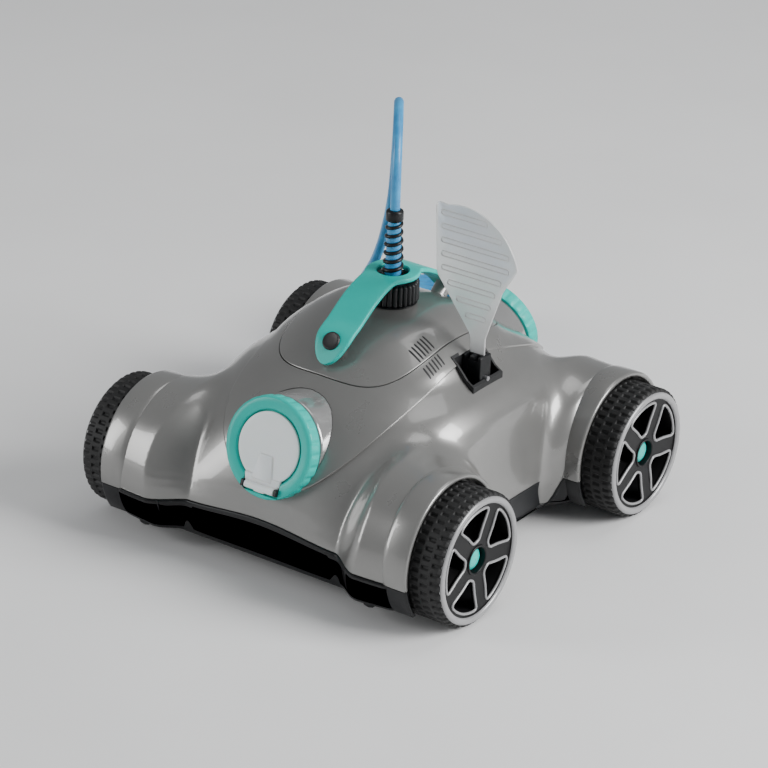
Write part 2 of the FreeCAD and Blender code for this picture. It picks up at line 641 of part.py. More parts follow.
def fin_pin():
    reach = FIN_ROOT_X / 2 + POCKET_GAP + POCKET_WALL
    return cylinder_x(FIN_PIN_RADIUS, FIN_X - reach, FIN_X + reach, 0, FIN_PIVOT_Z)


# ---- pump ---------------------------------------------------------------------
def motor_housing():
    can = cylinder_y(MOTOR_RADIUS, -MOTOR_HALF, MOTOR_HALF, 0, MOTOR_Z)
    return can.cut(cylinder_y(MOTOR_RADIUS - WALL, -MOTOR_HALF - 1, MOTOR_HALF + 1, 0, MOTOR_Z))


def motor_caps():
    caps = []
    for _, end in ENDS:
        low, high = sorted((end * MOTOR_HALF, end * (MOTOR_HALF + CAP_THICK)))
        cap = cylinder_y(MOTOR_RADIUS, low, high, 0, MOTOR_Z)
        caps.append(cap.cut(cylinder_y(SHAFT_RADIUS + RUNNING, low - 1, high + 1, 0, MOTOR_Z)))
    return caps


def motor_cradle():
    legs = []
    half, stand = CRADLE_THICK / 2, MOTOR_HALF - 14
    width = TRAY_IN - BASKET_MARGIN + 1
    for _, end in ENDS:
        y = end * stand
        leg = box(-width, width, y - half, y + half, HULL_BOTTOM + WALL, MOTOR_Z)
        seat = cylinder_y(MOTOR_RADIUS + RUNNING, y - half - 1, y + half + 1, 0, MOTOR_Z)
        legs.append(leg.cut(seat))
    rail = box(-10, 10, half - stand, stand - half, HULL_BOTTOM + WALL, HULL_BOTTOM + 4 * WALL)
    return fused(legs + [rail])


def motor_shaft():
    reach = PROPELLER_Y + PROPELLER_HALF + 2
    shaft = cylinder_y(SHAFT_RADIUS, -reach, reach, 0, MOTOR_Z)
    armature = cylinder_y(MOTOR_RADIUS - 7, -MOTOR_HALF + 8, MOTOR_HALF - 8, 0, MOTOR_Z)
    return fused([shaft, armature])


def propeller(end):
    y = end * PROPELLER_Y
    low, high = y - PROPELLER_HALF, y + PROPELLER_HALF
    hub = cylinder_y(PROPELLER_HUB, low, high, 0, MOTOR_Z)
    blades = []
    for step in range(BLADES):
        blade = box(-PROPELLER_HALF, PROPELLER_HALF, -1, 1, PROPELLER_HUB - 2, PROPELLER_RADIUS)
        blade.rotate(V(0, 0, 0), V(0, 0, 1), end * BLADE_PITCH)
        blade.rotate(V(0, 0, 0), V(0, 1, 0), 360 * step / BLADES)
        blade.translate(V(0, y, MOTOR_Z))
        blades.append(blade)
    tip = cylinder_y(PROPELLER_RADIUS, low, high, 0, MOTOR_Z)
    wheel = fused([hub] + blades).common(tip)
    return wheel.cut(cylinder_y(SHAFT_RADIUS, low - 4, high + 4, 0, MOTOR_Z))


# ---- filter trays -----------------------------------------------------------------
def tray_span(side, inner, outer):
    return sorted((side * inner, side * outer))


def filter_tray(side):
    """The floor plate of a filter basket, with its intake port and the flap's two ears."""
    x0, x1 = tray_span(side, TRAY_IN, TRAY_OUT)
    floor = HULL_BOTTOM + WALL
    plate = box(x0, x1, -TRAY_HALF_Y, TRAY_HALF_Y, HULL_BOTTOM, floor)
    plate = plate.cut(box(port_x(side, -1), port_x(side, 1), -PORT_Y / 2, PORT_Y / 2, 0, 40))
    x = flap_axis_x(side)
    for end in (-1, 1):
        low, high = sorted((end * (FLAP_HALF_Y + 0.4), end * (FLAP_HALF_Y + 0.4 + FLAP_EAR)))
        ear = box(x - 2.5, x + 2.5, low, high, floor - 1, FLAP_AXIS_Z + 2.5)
        plate = fused([plate, ear])
        plate = plate.cut(cylinder_y(FLAP_PIN + RUNNING, low, high, x, FLAP_AXIS_Z))
    return plate


def port_x(side, edge):
    """The port's low (-1) or high (1) edge across the tray."""
    return side * (TRAY_IN + TRAY_OUT) / 2 + edge * PORT_X / 2


def flap_axis_x(side):
    return side * ((TRAY_IN + TRAY_OUT) / 2 - PORT_X / 2 - FLAP_LAP)


def intake_flap(side):
    """A light flap that lies over the intake port and is lifted by the suction."""
    leaf = box(port_x(side, -1) - FLAP_LAP, port_x(side, 1) + FLAP_LAP,
               -FLAP_HALF_Y, FLAP_HALF_Y, FLAP_SEAT_Z, FLAP_SEAT_Z + FLAP_LEAF)
    barrel = cylinder_y(FLAP_BARREL, -FLAP_HALF_Y, FLAP_HALF_Y, flap_axis_x(side), FLAP_AXIS_Z)
    reach = FLAP_HALF_Y + FLAP_EAR + 0.2
    pin = cylinder_y(FLAP_PIN, -reach, reach, flap_axis_x(side), FLAP_AXIS_Z)
    return fused([leaf, barrel, pin])


def basket_walls(side, thick):
    x0, x1 = tray_span(side, TRAY_IN + BASKET_MARGIN, TRAY_OUT - BASKET_MARGIN)
    y = TRAY_HALF_Y - BASKET_MARGIN
    z0 = HULL_BOTTOM + WALL
    outer = box(x0, x1, -y, y, z0, BASKET_TOP)
    return outer.cut(box(x0 + thick, x1 - thick, -y + thick, y - thick, z0 - 1, BASKET_TOP + 1))


def basket_windows(side):
    """Three windows through the long walls and one through the short ones."""
    x0, x1 = tray_span(side, TRAY_IN, TRAY_OUT)
    cuts = []
    for step in (-1, 0, 1):
        y = step * WINDOW_PITCH
        cuts.append(box(x0, x1, y - WINDOW_HALF, y + WINDOW_HALF, HULL_BOTTOM + 12, BASKET_TOP - 6))
    middle = (x0 + x1) / 2
    cuts.append(box(middle - WINDOW_HALF, middle + WINDOW_HALF, -TRAY_HALF_Y, TRAY_HALF_Y,
                    HULL_BOTTOM + 12, BASKET_TOP - 6))
    return cuts


def filter_basket(side):
    walls = basket_walls(side, BASKET_WALL)
    for window in basket_windows(side):
        walls = walls.cut(window)
    return walls


def filter_mesh(side):
    x0, x1 = tray_span(side, TRAY_IN + BASKET_MARGIN, TRAY_OUT - BASKET_MARGIN)
    y = TRAY_HALF_Y - BASKET_MARGIN
    panels = []
    for window in basket_windows(side):
        for panel in basket_walls(side, CLOTH).common(window).Solids:
            panels.append(panel)
    return panels


# ---- wheels ---------------------------------------------------------------------
def rim_windows():
    """Five rounded three-sided windows round the hub, for the wheel at X = 0."""
    cuts = []
    inner, outer, half = HUB_RADIUS + 5.0, WHEEL_RADIUS - TYRE_DEPTH - 3.5, 26.0
    for step in range(SPOKES):
        wedge = []
        for share in (-1, 1):
            angle = math.radians(share * half)
            wedge.append(V(0, outer * math.sin(angle), outer * math.cos(angle)))
        edges = [Part.Arc(wedge[0], V(0, 0, outer), wedge[1]).toShape(),
                 Part.LineSegment(wedge[1], V(0, 3.0, inner)).toShape(),
                 Part.LineSegment(V(0, 3.0, inner), V(0, -3.0, inner)).toShape(),
                 Part.LineSegment(V(0, -3.0, inner), wedge[0]).toShape()]
        window = Part.Face(Part.Wire(edges)).extrude(V(60, 0, 0))
        window.rotate(V(0, 0, 0), V(1, 0, 0), 360 / SPOKES * step)
        cuts.append(window)
    return cuts


def rim():
    """Drum, dished spokes and hub of the right wheels, axis on the X axis."""
    outer = WHEEL_RADIUS - TYRE_DEPTH
    drum = cylinder_x(outer, WHEEL_IN + 2, WHEEL_OUT, 0, 0)
    drum = drum.cut(cylinder_x(outer - RIM_WALL, WHEEL_IN, WHEEL_OUT + 1, 0, 0))
    flange = cylinder_x(WHEEL_RADIUS - 2, WHEEL_OUT - 2, WHEEL_OUT, 0, 0)
    flange = flange.cut(cylinder_x(outer - 1, WHEEL_OUT - 3, WHEEL_OUT + 1, 0, 0))
    disc = cylinder_x(outer - 2, WHEEL_OUT - RIM_DISH - RIM_DISC, WHEEL_OUT - RIM_DISH, 0, 0)
    for window in rim_windows():
        window.translate(V(WHEEL_OUT - 30, 0, 0))
        disc = disc.cut(window)
    hub = cylinder_x(HUB_RADIUS, WHEEL_IN + 2, WHEEL_OUT - RIM_DISH, 0, 0)
    whole = fused([drum, flange, disc, hub])
    whole = whole.cut(cylinder_x(CAP_RADIUS + RUNNING, WHEEL_OUT - RIM_SUNK, WHEEL_OUT + 1, 0, 0))
    return whole.cut(cylinder_x(AXLE_RADIUS + RUNNING, WHEEL_IN, WHEEL_OUT + 1, 0, 0))


def tyre():
    body = cylinder_x(WHEEL_RADIUS, WHEEL_IN, WHEEL_OUT - 2, 0, 0)
    return body.cut(cylinder_x(WHEEL_RADIUS - TYRE_DEPTH, WHEEL_IN - 1, WHEEL_OUT, 0, 0))


def hub_cap():
    brim = WHEEL_OUT - RIM_SUNK + 2.5
    skirt = cylinder_x(CAP_RADIUS, WHEEL_OUT - RIM_SUNK, brim, 0, 0)
    ball = Part.makeSphere(CAP_SPHERE, V(brim + CAP_RISE - CAP_SPHERE, 0, 0))
    dome = ball.common(cylinder_x(CAP_RADIUS, brim, WHEEL_OUT, 0, 0))
    return fused([skirt, dome])


def axle():
    return cylinder_x(AXLE_RADIUS, ARCH_WEB - WALL - AXLE_BLOCK, WHEEL_OUT - RIM_SUNK - 1, 0, 0)


def at_corner(shape, side, end):
    placed = shape.copy()
    if side < 0:
        placed = mirror_x(placed)
    placed.translate(V(0, end * AXLE_Y, AXLE_Z))
    return placed


# ---- cable ------------------------------------------------------------------------
def cable_run():
    """Corners of the cable from the gland, over the hull and down to the coil's outer lane."""
    points = []
    for across, back, beyond, down in CABLE_CORNERS:
        points.append(V(COIL_X * across, CABLE_Y + (AXLE_Y - CABLE_Y) * back + beyond,
                        RELIEF_COLLAR + (COIL_TOP - RELIEF_COLLAR) * down))
    lane = COIL_MEAN + (COIL_WIDE - 1) / 2 * CABLE_DIAMETER
    angle = math.radians(COIL_ENTRY)
    points.append(V(COIL_X + lane * math.cos(angle), COIL_Y + lane * math.sin(angle),
                    COIL_TOP - CABLE_DIAMETER / 2))
    return points


def lead_out():
    """Corners of the cable's free end, which leaves the coil's lowest turn forwards."""
    lane = COIL_X + COIL_MEAN + (COIL_WIDE - 1) / 2 * CABLE_DIAMETER
    low = CABLE_DIAMETER / 2 + 0.1
    points = [V(lane, COIL_Y - 6, low)]
    for ahead, up in LEAD_BENDS:
        points.append(V(lane, COIL_Y - ahead, low + up))
    return points


def cord_path(points):
    """Straight runs joined by arcs as large as the runs allow, and the arcs' radii."""
    edges, radii = [], []
    start = points[0]
    for before, corner, after in zip(points, points[1:], points[2:]):
        into, away = corner - before, after - corner
        short = min(into.Length, away.Length)
        into.normalize()
        away.normalize()
        half_turn = into.getAngle(away) / 2
        reach = 0.45 * short
        radii.append(reach / math.tan(half_turn))
        first, last = corner - into * reach, corner + away * reach
        inward = away - into
        inward.normalize()
        depth = radii[-1] / math.cos(half_turn) - radii[-1]
        edges.append(Part.LineSegment(start, first).toShape())
        edges.append(Part.Arc(first, corner + inward * depth, last).toShape())
        start = last
    edges.append(Part.LineSegment(start, points[-1]).toShape())
    return Part.Wire(edges), radii


def cord_tube(name, points):
    path, radii = cord_path(points)
    direction = points[1] - points[0]
    section = Part.Wire([Part.makeCircle(CABLE_DIAMETER / 2, points[0], direction)])
    tube = path.makePipeShell([section], True, False)
    full = math.pi * CABLE_DIAMETER ** 2 / 4 * path.Length
    print(name, "length", round(path.Length, 1), "volume over section times length",
          round(tube.Volume / full, 4), "radii", [round(r, 1) for r in radii])
    return tube


def cable_coil():
    half_wide = COIL_WIDE * CABLE_DIAMETER / 2
    height = COIL_LAYERS * CABLE_DIAMETER
    ring = cylinder_z(COIL_MEAN + half_wide, 0, height, COIL_X, COIL_Y)
    return ring.cut(cylinder_z(COIL_MEAN - half_wide, -1, height + 1, COIL_X, COIL_Y))


def cable_plug():
    """A waterproof in-line connector: sleeve, body and ribbed coupling ring."""
    tip = lead_out()[-1]
    sleeve = cylinder_y(CABLE_DIAMETER / 2 + 2.4, tip.y - 10, tip.y, tip.x, PLUG_RADIUS)
    body = cylinder_y(PLUG_RADIUS - 1.5, tip.y - 34, tip.y - 10, tip.x, PLUG_RADIUS)
    ring = cylinder_y(PLUG_RADIUS, tip.y - PLUG_LONG, tip.y - 20, tip.x, PLUG_RADIUS)
    socket = cylinder_y(PLUG_RADIUS - WALL, tip.y - PLUG_LONG - 1, tip.y - 30, tip.x, PLUG_RADIUS)
    return fused([sleeve, body, ring]).cut(socket)


def plug_pins():
    tip = lead_out()[-1]
    end = tip.y - PLUG_LONG + 1
    return [cylinder_y(PIN_RADIUS, end, tip.y - 30, tip.x + side * PIN_SPREAD, PLUG_RADIUS)
            for side in (-1, 1)]


# ---- write every piece --------------------------------------------------------------
def build():
    outer = body_solid(0)
    shell = hull_shell()
    nodes = {
        "base_shell": base_shell(shell),
        "upper_shell": upper_shell(shell),
        "top_cover": top_cover(shell),
        "fin_pocket": fin_pocket(outer),
        "handle": handle(),
        "handle_bolts": handle_bolts(),
        "handle_feet": handle_feet(outer),
        "cable_socket": cable_socket(),
        "gland_nut": gland_nut(),
        "strain_relief": strain_relief(),
        "fin_blade": fin_blade(),
        "fin_root": fin_root(),
        "fin_pin": fin_pin(),
        "motor_housing": motor_housing(),
        "motor_caps": motor_caps(),
        "motor_cradle": motor_cradle(),
        "motor_shaft": motor_shaft(),
        "cable_run": cord_tube("cable_run", cable_run()),
        "cable_coil": cable_coil(),
        "cable_lead_out": cord_tube("cable_lead_out", lead_out()),
        "cable_plug": cable_plug(),
        "plug_pins": plug_pins(),
    }
    for name, end in ENDS:
        turned = (lambda s: s) if end < 0 else mirror_y
        nodes["jet_tube_" + name] = turned(jet_tube())
        nodes["nozzle_ring_" + name] = turned(nozzle_ring())
        nodes["jet_flap_" + name] = turned(flap())
        nodes["propeller_" + name] = propeller(end)
    for name, side in SIDES:
        nodes["filter_tray_" + name] = filter_tray(side)
        nodes["filter_basket_" + name] = filter_basket(side)
        nodes["filter_mesh_" + name] = filter_mesh(side)
        nodes["intake_flap_" + name] = intake_flap(side)
    for end_name, end in ENDS:
        for side_name, side in SIDES:
            corner = end_name + "_" + side_name
            nodes["tyre_" + corner] = at_corner(tyre(), side, end)
            nodes["rim_" + corner] = at_corner(rim(), side, end)
            nodes["hub_cap_" + corner] = at_corner(hub_cap(), side, end)
            nodes["axle_" + corner] = at_corner(axle(), side, end)
            nodes["corner_latch_" + corner] = corner_latch(side, end)
    return nodes


os.makedirs("parts", exist_ok=True)
for node, shape in build().items():
    if isinstance(shape, list):
        shape = Part.makeCompound(shape)
    print(node, "solids", len(shape.Solids), "valid", shape.isValid(),
          "volume", round(shape.Volume / 1000, 2))
    shape.exportStep("parts/" + node + ".step")
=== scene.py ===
"""Wheeled pool cleaner: the looks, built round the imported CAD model. Sizes in the code are millimetres."""
import json
import math

import bmesh
import bpy
import numpy as np
from mathutils import Matrix, Vector


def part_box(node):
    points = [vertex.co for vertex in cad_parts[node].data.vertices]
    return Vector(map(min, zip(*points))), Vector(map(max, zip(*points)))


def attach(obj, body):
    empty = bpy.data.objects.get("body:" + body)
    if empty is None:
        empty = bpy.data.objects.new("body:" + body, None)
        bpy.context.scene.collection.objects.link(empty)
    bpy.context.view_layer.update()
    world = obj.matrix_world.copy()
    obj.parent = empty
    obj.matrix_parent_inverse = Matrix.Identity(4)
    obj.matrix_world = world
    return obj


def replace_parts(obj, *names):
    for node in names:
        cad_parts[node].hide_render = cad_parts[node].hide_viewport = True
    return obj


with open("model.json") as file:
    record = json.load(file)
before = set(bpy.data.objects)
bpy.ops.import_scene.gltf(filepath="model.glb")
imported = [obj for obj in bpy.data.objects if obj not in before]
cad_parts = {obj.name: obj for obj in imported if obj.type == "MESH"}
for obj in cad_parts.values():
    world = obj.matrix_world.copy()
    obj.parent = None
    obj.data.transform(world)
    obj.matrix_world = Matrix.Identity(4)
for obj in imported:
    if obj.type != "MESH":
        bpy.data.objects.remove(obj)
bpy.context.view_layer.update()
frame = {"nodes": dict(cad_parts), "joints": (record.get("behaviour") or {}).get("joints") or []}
MM = 0.001


# ---- sizes taken from the frame ----
def node_box(node):
    low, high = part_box(node)
    return np.array(low) / MM, np.array(high) / MM


def joint(name):
    return next(j for j in frame["joints"] if j["name"] == name)


WHEEL_AT = np.array(joint("wheel_front_right_roll")["pos_m"]) / MM
AXLE_Y = abs(WHEEL_AT[1])
AXLE_Z = WHEEL_AT[2]
WHEEL_RADIUS = AXLE_Z
WHEEL_OUT = node_box("rim_front_right")[1][0]
WHEEL_IN = node_box("tyre_front_right")[0][0]
NOZZLE_AT = np.array(joint("nozzle_front_swivel")["pos_m"]) / MM
NOZZLE_OUT = np.array(joint("nozzle_front_swivel")["axis"])
NOZZLE_UP = np.array([0.0, NOZZLE_OUT[2], -NOZZLE_OUT[1]])
FIN_AT = np.array(joint("fin_swing")["pos_m"]) / MM
HULL_HIGH = node_box("upper_shell")[1]
BASE_BOTTOM = node_box("base_shell")[0][2]
DOME_TOP = node_box("top_cover")[1][2]
ARCH_EDGE = HULL_HIGH[0]
ARCH_RADIUS = HULL_HIGH[1] - AXLE_Y


# ---- camera and light ----
AZIMUTH, ELEVATION, ROLL = math.radians(34.686), math.radians(26.81), math.radians(2.07)
DISTANCE, FOCAL = 3.0786, 174.7
TIP_UP, TIP_SIDE = math.radians(1.8423), math.radians(-0.0157)     # the origin stands low in the frame
FLOOR_HALF = 6.0
LIGHT_TARGET = Vector((0, 0, 0.1))
LIGHTS = (("key", (2.3, 0.7, 1.5), (1.3, 1.5), 118), ("top", (0.3, 0.9, 2.3), (1.2, 1.0), 10),
          ("front", (-1.9, -1.8, 0.9), (0.8, 1.6), 36))


def link(name, data):
    made = bpy.data.objects.new(name, data)
    bpy.context.collection.objects.link(made)
    return made


def add_camera():
    """Seen from the front right and above, through a long lens."""
    back = Vector((math.sin(AZIMUTH) * math.cos(ELEVATION), -math.cos(AZIMUTH) * math.cos(ELEVATION),
                   math.sin(ELEVATION)))
    right = Vector((math.cos(AZIMUTH), math.sin(AZIMUTH), 0))
    above = back.cross(right)
    turned_right = right * math.cos(ROLL) + above * math.sin(ROLL)
    turned_up = above * math.cos(ROLL) - right * math.sin(ROLL)
    axes = Matrix((turned_right, turned_up, back)).transposed()
    axes = axes @ Matrix.Rotation(TIP_UP, 3, "X") @ Matrix.Rotation(TIP_SIDE, 3, "Y")
    data = bpy.data.cameras.new("camera")
    data.lens = FOCAL
    data.sensor_width = 36.0
    camera = link("camera", data)
    camera.matrix_world = Matrix.Translation(back * DISTANCE) @ axes.to_4x4()
    bpy.context.scene.camera = camera


def add_stage():
    mesh = bpy.data.meshes.new("floor")
    corners = [(x * FLOOR_HALF, y * FLOOR_HALF, 0) for x, y in ((-1, -1), (1, -1), (1, 1), (-1, 1))]
    mesh.from_pydata(corners, [], [(0, 1, 2, 3)])
    floor = link("floor", mesh)
    floor.data.materials.append(MATERIALS["floor"])
    for name, place, size, power in LIGHTS:
        data = bpy.data.lights.new(name, "AREA")
        data.shape = "RECTANGLE"
        data.size, data.size_y = size
        data.energy = power
        lamp = link(name, data)
        lamp.location = place
        lamp.rotation_euler = (LIGHT_TARGET - Vector(place)).to_track_quat("-Z", "Y").to_euler()
    world = bpy.data.worlds.new("studio")
    world.use_nodes = True
    world.node_tree.nodes["Background"].inputs["Color"].default_value = (0.80, 0.82, 0.84, 1)
    world.node_tree.nodes["Background"].inputs["Strength"].default_value = 0.40
    bpy.context.scene.world = world


# ---- materials ----
class Recipe:
    """A node material: a Principled shader with object-space texture nodes."""

    def __init__(self, name, **sockets):
        self.material = bpy.data.materials.new(name)
        self.material.use_nodes = True
        self.tree = self.material.node_tree
        self.shader = self.tree.nodes["Principled BSDF"]
        for socket, value in sockets.items():
            self.shader.inputs[socket.replace("_", " ")].default_value = value
        self.coordinates = self.tree.nodes.new("ShaderNodeTexCoord").outputs["Object"]

    def node(self, kind, links=(), **values):
        made = self.tree.nodes.new(kind)
        for key, value in values.items():
            if hasattr(made, key):
                setattr(made, key, value)
            else:
                made.inputs[key.replace("_", " ")].default_value = value
        for source, socket in links:
            self.tree.links.new(source, made.inputs[socket])
        return made

    def noise(self, scale, detail, stretch=None):
        source = self.coordinates
        if stretch:
            mapping = self.node("ShaderNodeMapping", [(source, "Vector")])
            mapping.inputs["Scale"].default_value = stretch
            source = mapping.outputs["Vector"]
        made = self.node("ShaderNodeTexNoise", [(source, "Vector")], Scale=scale, Detail=detail, Roughness=0.55)
        return made.outputs["Fac"]

    def colour(self, source, dark, light, low=0.35, high=0.65):
        made = self.node("ShaderNodeValToRGB", [(source, "Fac")])
        for element, place, colour in zip(made.color_ramp.elements, (low, high), (dark, light)):
            element.position = place
            element.color = (*colour, 1.0)
        self.tree.links.new(made.outputs["Color"], self.shader.inputs["Base Color"])

    def roughness(self, source, low, high):
        made = self.node("ShaderNodeMapRange", [(source, "Value")], To_Min=low, To_Max=high)
        self.tree.links.new(made.outputs["Result"], self.shader.inputs["Roughness"])

    def bump(self, source, depth, strength=0.5, after=None):
        links = [(source, "Height")]
        if after:
            links.append((after, "Normal"))
        made = self.node("ShaderNodeBump", links, Distance=depth, Strength=strength)
        self.tree.links.new(made.outputs["Normal"], self.shader.inputs["Normal"])
        return made.outputs["Normal"]


def surface(name, shades, cloud, rough_at, rough, *bumps, stretch=None, **sockets):
    """Shades mixed by a cloud of (scale, detail), roughness by another; bumps have a depth and strength too."""
    made = Recipe(name, **sockets)
    made.colour(made.noise(*cloud, stretch), *shades)
    made.roughness(made.noise(*rough_at, stretch), *rough)
    below = None
    for scale, detail, depth, strength in bumps:
        below = made.bump(made.noise(scale, detail, stretch), depth, strength, below)
    return made.material


def shaded(colour, spread):
    """Two nearby shades of one colour."""
    return [c * (1 - spread) for c in colour], [min(c * (1 + spread), 1.0) for c in colour]


def moulded(name, colour, spread, rough, grain, **sockets):
    """Injection-moulded plastic: faint cloudy colour, fine surface texture and soft wear in its gloss."""
    return surface(name, shaded(colour, spread), (14, 5), (38, 6), rough, (grain, 2, 0.00004, 0.35), **sockets)


def rubber(name, level, rough):
    return surface(name, shaded((level, level, level * 1.02), 0.22), (45, 6), (90, 5), rough,
                   (1500, 2, 0.00005, 0.5), Specular_IOR_Level=0.4)


def metal(name, colour, stretch):
    return surface(name, ([c * 0.9 for c in colour], colour), (60, 6), (300, 4), (0.25, 0.4),
                   (900, 3, 0.00003, 0.4), stretch=stretch, Metallic=1.0)


def floor_material():
    made = Recipe("floor", Roughness=0.7)
    made.colour(made.noise(3, 3), (0.78, 0.78, 0.78), (0.82, 0.82, 0.82))
    return made.material


def mesh_material():
    """Woven filter cloth: crossed fine threads."""
    made = Recipe("filter_cloth", Roughness=0.9, Sheen_Weight=0.3)
    bands = []
    for direction in "YZ":
        wave = made.node("ShaderNodeTexWave", [(made.coordinates, "Vector")], bands_direction=direction,
                         Scale=420.0, Distortion=0.4)
        bands.append(wave.outputs["Fac"])
    mixed = made.node("ShaderNodeMath", [(bands[0], 0), (bands[1], 1)], operation="MULTIPLY")
    made.colour(mixed.outputs["Value"], (0.28, 0.30, 0.29), (0.62, 0.64, 0.62), 0.1, 0.7)
    made.bump(mixed.outputs["Value"], 0.0003, 0.7)
    return made.material


MATERIALS = {
    "shell": surface("shell_grey", ((0.190, 0.188, 0.182), (0.222, 0.220, 0.213)), (7, 6), (30, 6), (0.24, 0.34),
                     (140, 2, 0.00004, 0.12), (2600, 1, 0.00002, 0.25), Metallic=0.45, Coat_Weight=0.7,
                     Coat_Roughness=0.05),
    "tube": surface("tube_gloss", ((0.30, 0.30, 0.30), (0.36, 0.36, 0.355)), (7, 6), (40, 6), (0.10, 0.17),
                    (60, 2, 0.00008, 0.15), Metallic=0.55, Coat_Weight=1.0, Coat_Roughness=0.02),
    "base": moulded("base_black", (0.006, 0.0065, 0.0075), 0.25, (0.30, 0.44), 700, Specular_IOR_Level=0.32),
    "trim": moulded("trim_black", (0.009, 0.009, 0.010), 0.25, (0.38, 0.55), 1200),
    "teal": moulded("teal", (0.004, 0.46, 0.395), 0.07, (0.28, 0.40), 900, Specular_IOR_Level=0.3),
    "hub": moulded("hub_teal", (0.01, 0.52, 0.45), 0.07, (0.26, 0.36), 900, Specular_IOR_Level=0.4),
    "flap": moulded("flap_white", (0.84, 0.84, 0.825), 0.03, (0.36, 0.5), 700, Subsurface_Weight=0.15),
    "clear": surface("fin_clear", ((0.90, 0.92, 0.92), (0.98, 0.98, 0.98)), (25, 4), (60, 5), (0.16, 0.30),
                     (500, 2, 0.00003, 0.3), Transmission_Weight=0.55, IOR=1.35, Coat_Weight=0.3),
    "tyre": rubber("tyre_rubber", 0.010, (0.55, 0.72)),
    "seal": rubber("flap_rubber", 0.018, (0.6, 0.8)),
    "rim": moulded("rim_black", (0.004, 0.004, 0.0045), 0.2, (0.34, 0.48), 900, Specular_IOR_Level=0.22),
    # painted reflection: the rim's outer ring and window frames are dark grey plastic, made light grey for the
    # light they reflect
    "lip": moulded("rim_grey", (0.30, 0.30, 0.305), 0.06, (0.28, 0.38), 900, Metallic=0.25, Coat_Weight=0.3),
    "cable": surface("cable_blue", ((0.018, 0.21, 0.46), (0.035, 0.31, 0.60)), (60, 5), (200, 4), (0.34, 0.5),
                     (1100, 3, 0.00008, 0.4), Coat_Weight=0.15),
    "steel": metal("steel", (0.60, 0.60, 0.62), (0.05, 1, 1)),
    "brass": metal("brass", (0.72, 0.52, 0.22), (1, 1, 1)),
    "motor": moulded("motor_shell", (0.05, 0.052, 0.056), 0.15, (0.35, 0.5), 800),
    "nylon": moulded("propeller_nylon", (0.58, 0.58, 0.53), 0.05, (0.4, 0.55), 800, Subsurface_Weight=0.1),
    "cloth": mesh_material(),
    "floor": floor_material(),
}


def paint(obj, material):
    obj.data.materials.clear()
    obj.data.materials.append(MATERIALS[material])


# ---- mesh helpers ----
def closed_mesh(name, points, faces):
    """A mesh from points in millimetres, its faces turned outwards."""
    mesh = bpy.data.meshes.new(name)
    corners = (np.asarray(points, float) * MM).tolist()
    mesh.from_pydata(corners, [], [tuple(int(i) for i in face) for face in faces])
    work = bmesh.new()
    work.from_mesh(mesh)
    bmesh.ops.recalc_face_normals(work, faces=work.faces)
    work.to_mesh(mesh)
    work.free()
    return mesh


def add_piece(name, form, material, body, normals=None):
    """A piece from a form of (points, faces), riding on a body."""
    mesh = closed_mesh(name, *form)
    mesh.polygons.foreach_set("use_smooth", [True] * len(mesh.polygons))
    mesh.update()
    if normals is not None:
        known = np.array([v.normal for v in mesh.vertices])
        blank = np.isnan(normals[:, 0])
        mesh.normals_split_custom_set_from_vertices(np.where(blank[:, None], known, normals).tolist())
    piece = link(name, mesh)
    paint(piece, material)
    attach(piece, body)
    return piece


def finish_piece(piece, degrees, node=None):
    """Keeps corners over this angle crisp, and hides the imported node that the piece stands for."""
    piece.data.set_sharp_from_angle(angle=math.radians(degrees))
    if node:
        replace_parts(piece, node)
    return piece


def grid_faces(rows, columns, closed=True):
    """Quads of a grid of rows by columns, the columns joined round if closed."""
    row = np.arange(rows - 1)[:, None] * columns
    column = np.arange(columns if closed else columns - 1)[None, :]
    following = (column + 1) % columns
    quads = np.stack([row + column, row + following, row + columns + following, row + columns + column], -1)
    return quads.reshape(-1, 4)


def loop_faces(rows, columns, ends="open"):
    """Faces of a grid joined round, with its first and last rows left open, joined or capped."""
    faces = [list(f) for f in grid_faces(rows, columns)]
    last = (rows - 1) * columns
    if ends == "joined":
        faces += [[last + i, last + (i + 1) % columns, (i + 1) % columns, i] for i in range(columns)]
    if ends == "capped":
        faces += [list(range(columns))[::-1], [last + i for i in range(columns)]]
    return faces


def bar_form(rows):
    """A closed bar from lines of points that run along it, in order round its section."""
    count, last = len(rows[0]), (len(rows) - 1) * len(rows[0])
    faces = [list(f) for f in grid_faces(len(rows), count, closed=False)]
    faces += [[last + i, last + i + 1, i + 1, i] for i in range(count - 1)]
    ends = [k * count for k in range(len(rows))]
    faces += [ends, [k + count - 1 for k in ends[::-1]]]
    return np.concatenate(rows), faces


def merged(parts):
    """Joins (points, faces) pairs into one pair."""
    points, faces, count = [], [], 0
    for some_points, some_faces in parts:
        points.append(np.asarray(some_points, float))
        faces += [[int(i) + count for i in face] for face in some_faces]
        count += len(points[-1])
    return np.concatenate(points), faces


def smooth_curve(xs, ys):
    """A smooth curve through the points, as a function of x."""
    xs, ys = np.asarray(xs, float), np.asarray(ys, float)
    slope = np.gradient(ys, xs)

    def at(x):
        x = np.clip(x, xs[0], xs[-1])
        i = np.clip(np.searchsorted(xs, x) - 1, 0, len(xs) - 2)
        span = xs[i + 1] - xs[i]
        t = (x - xs[i]) / span
        return ((2 * t ** 3 - 3 * t ** 2 + 1) * ys[i] + (t ** 3 - 2 * t ** 2 + t) * span * slope[i]
                + (3 * t ** 2 - 2 * t ** 3) * ys[i + 1] + (t ** 3 - t ** 2) * span * slope[i + 1])

    return at


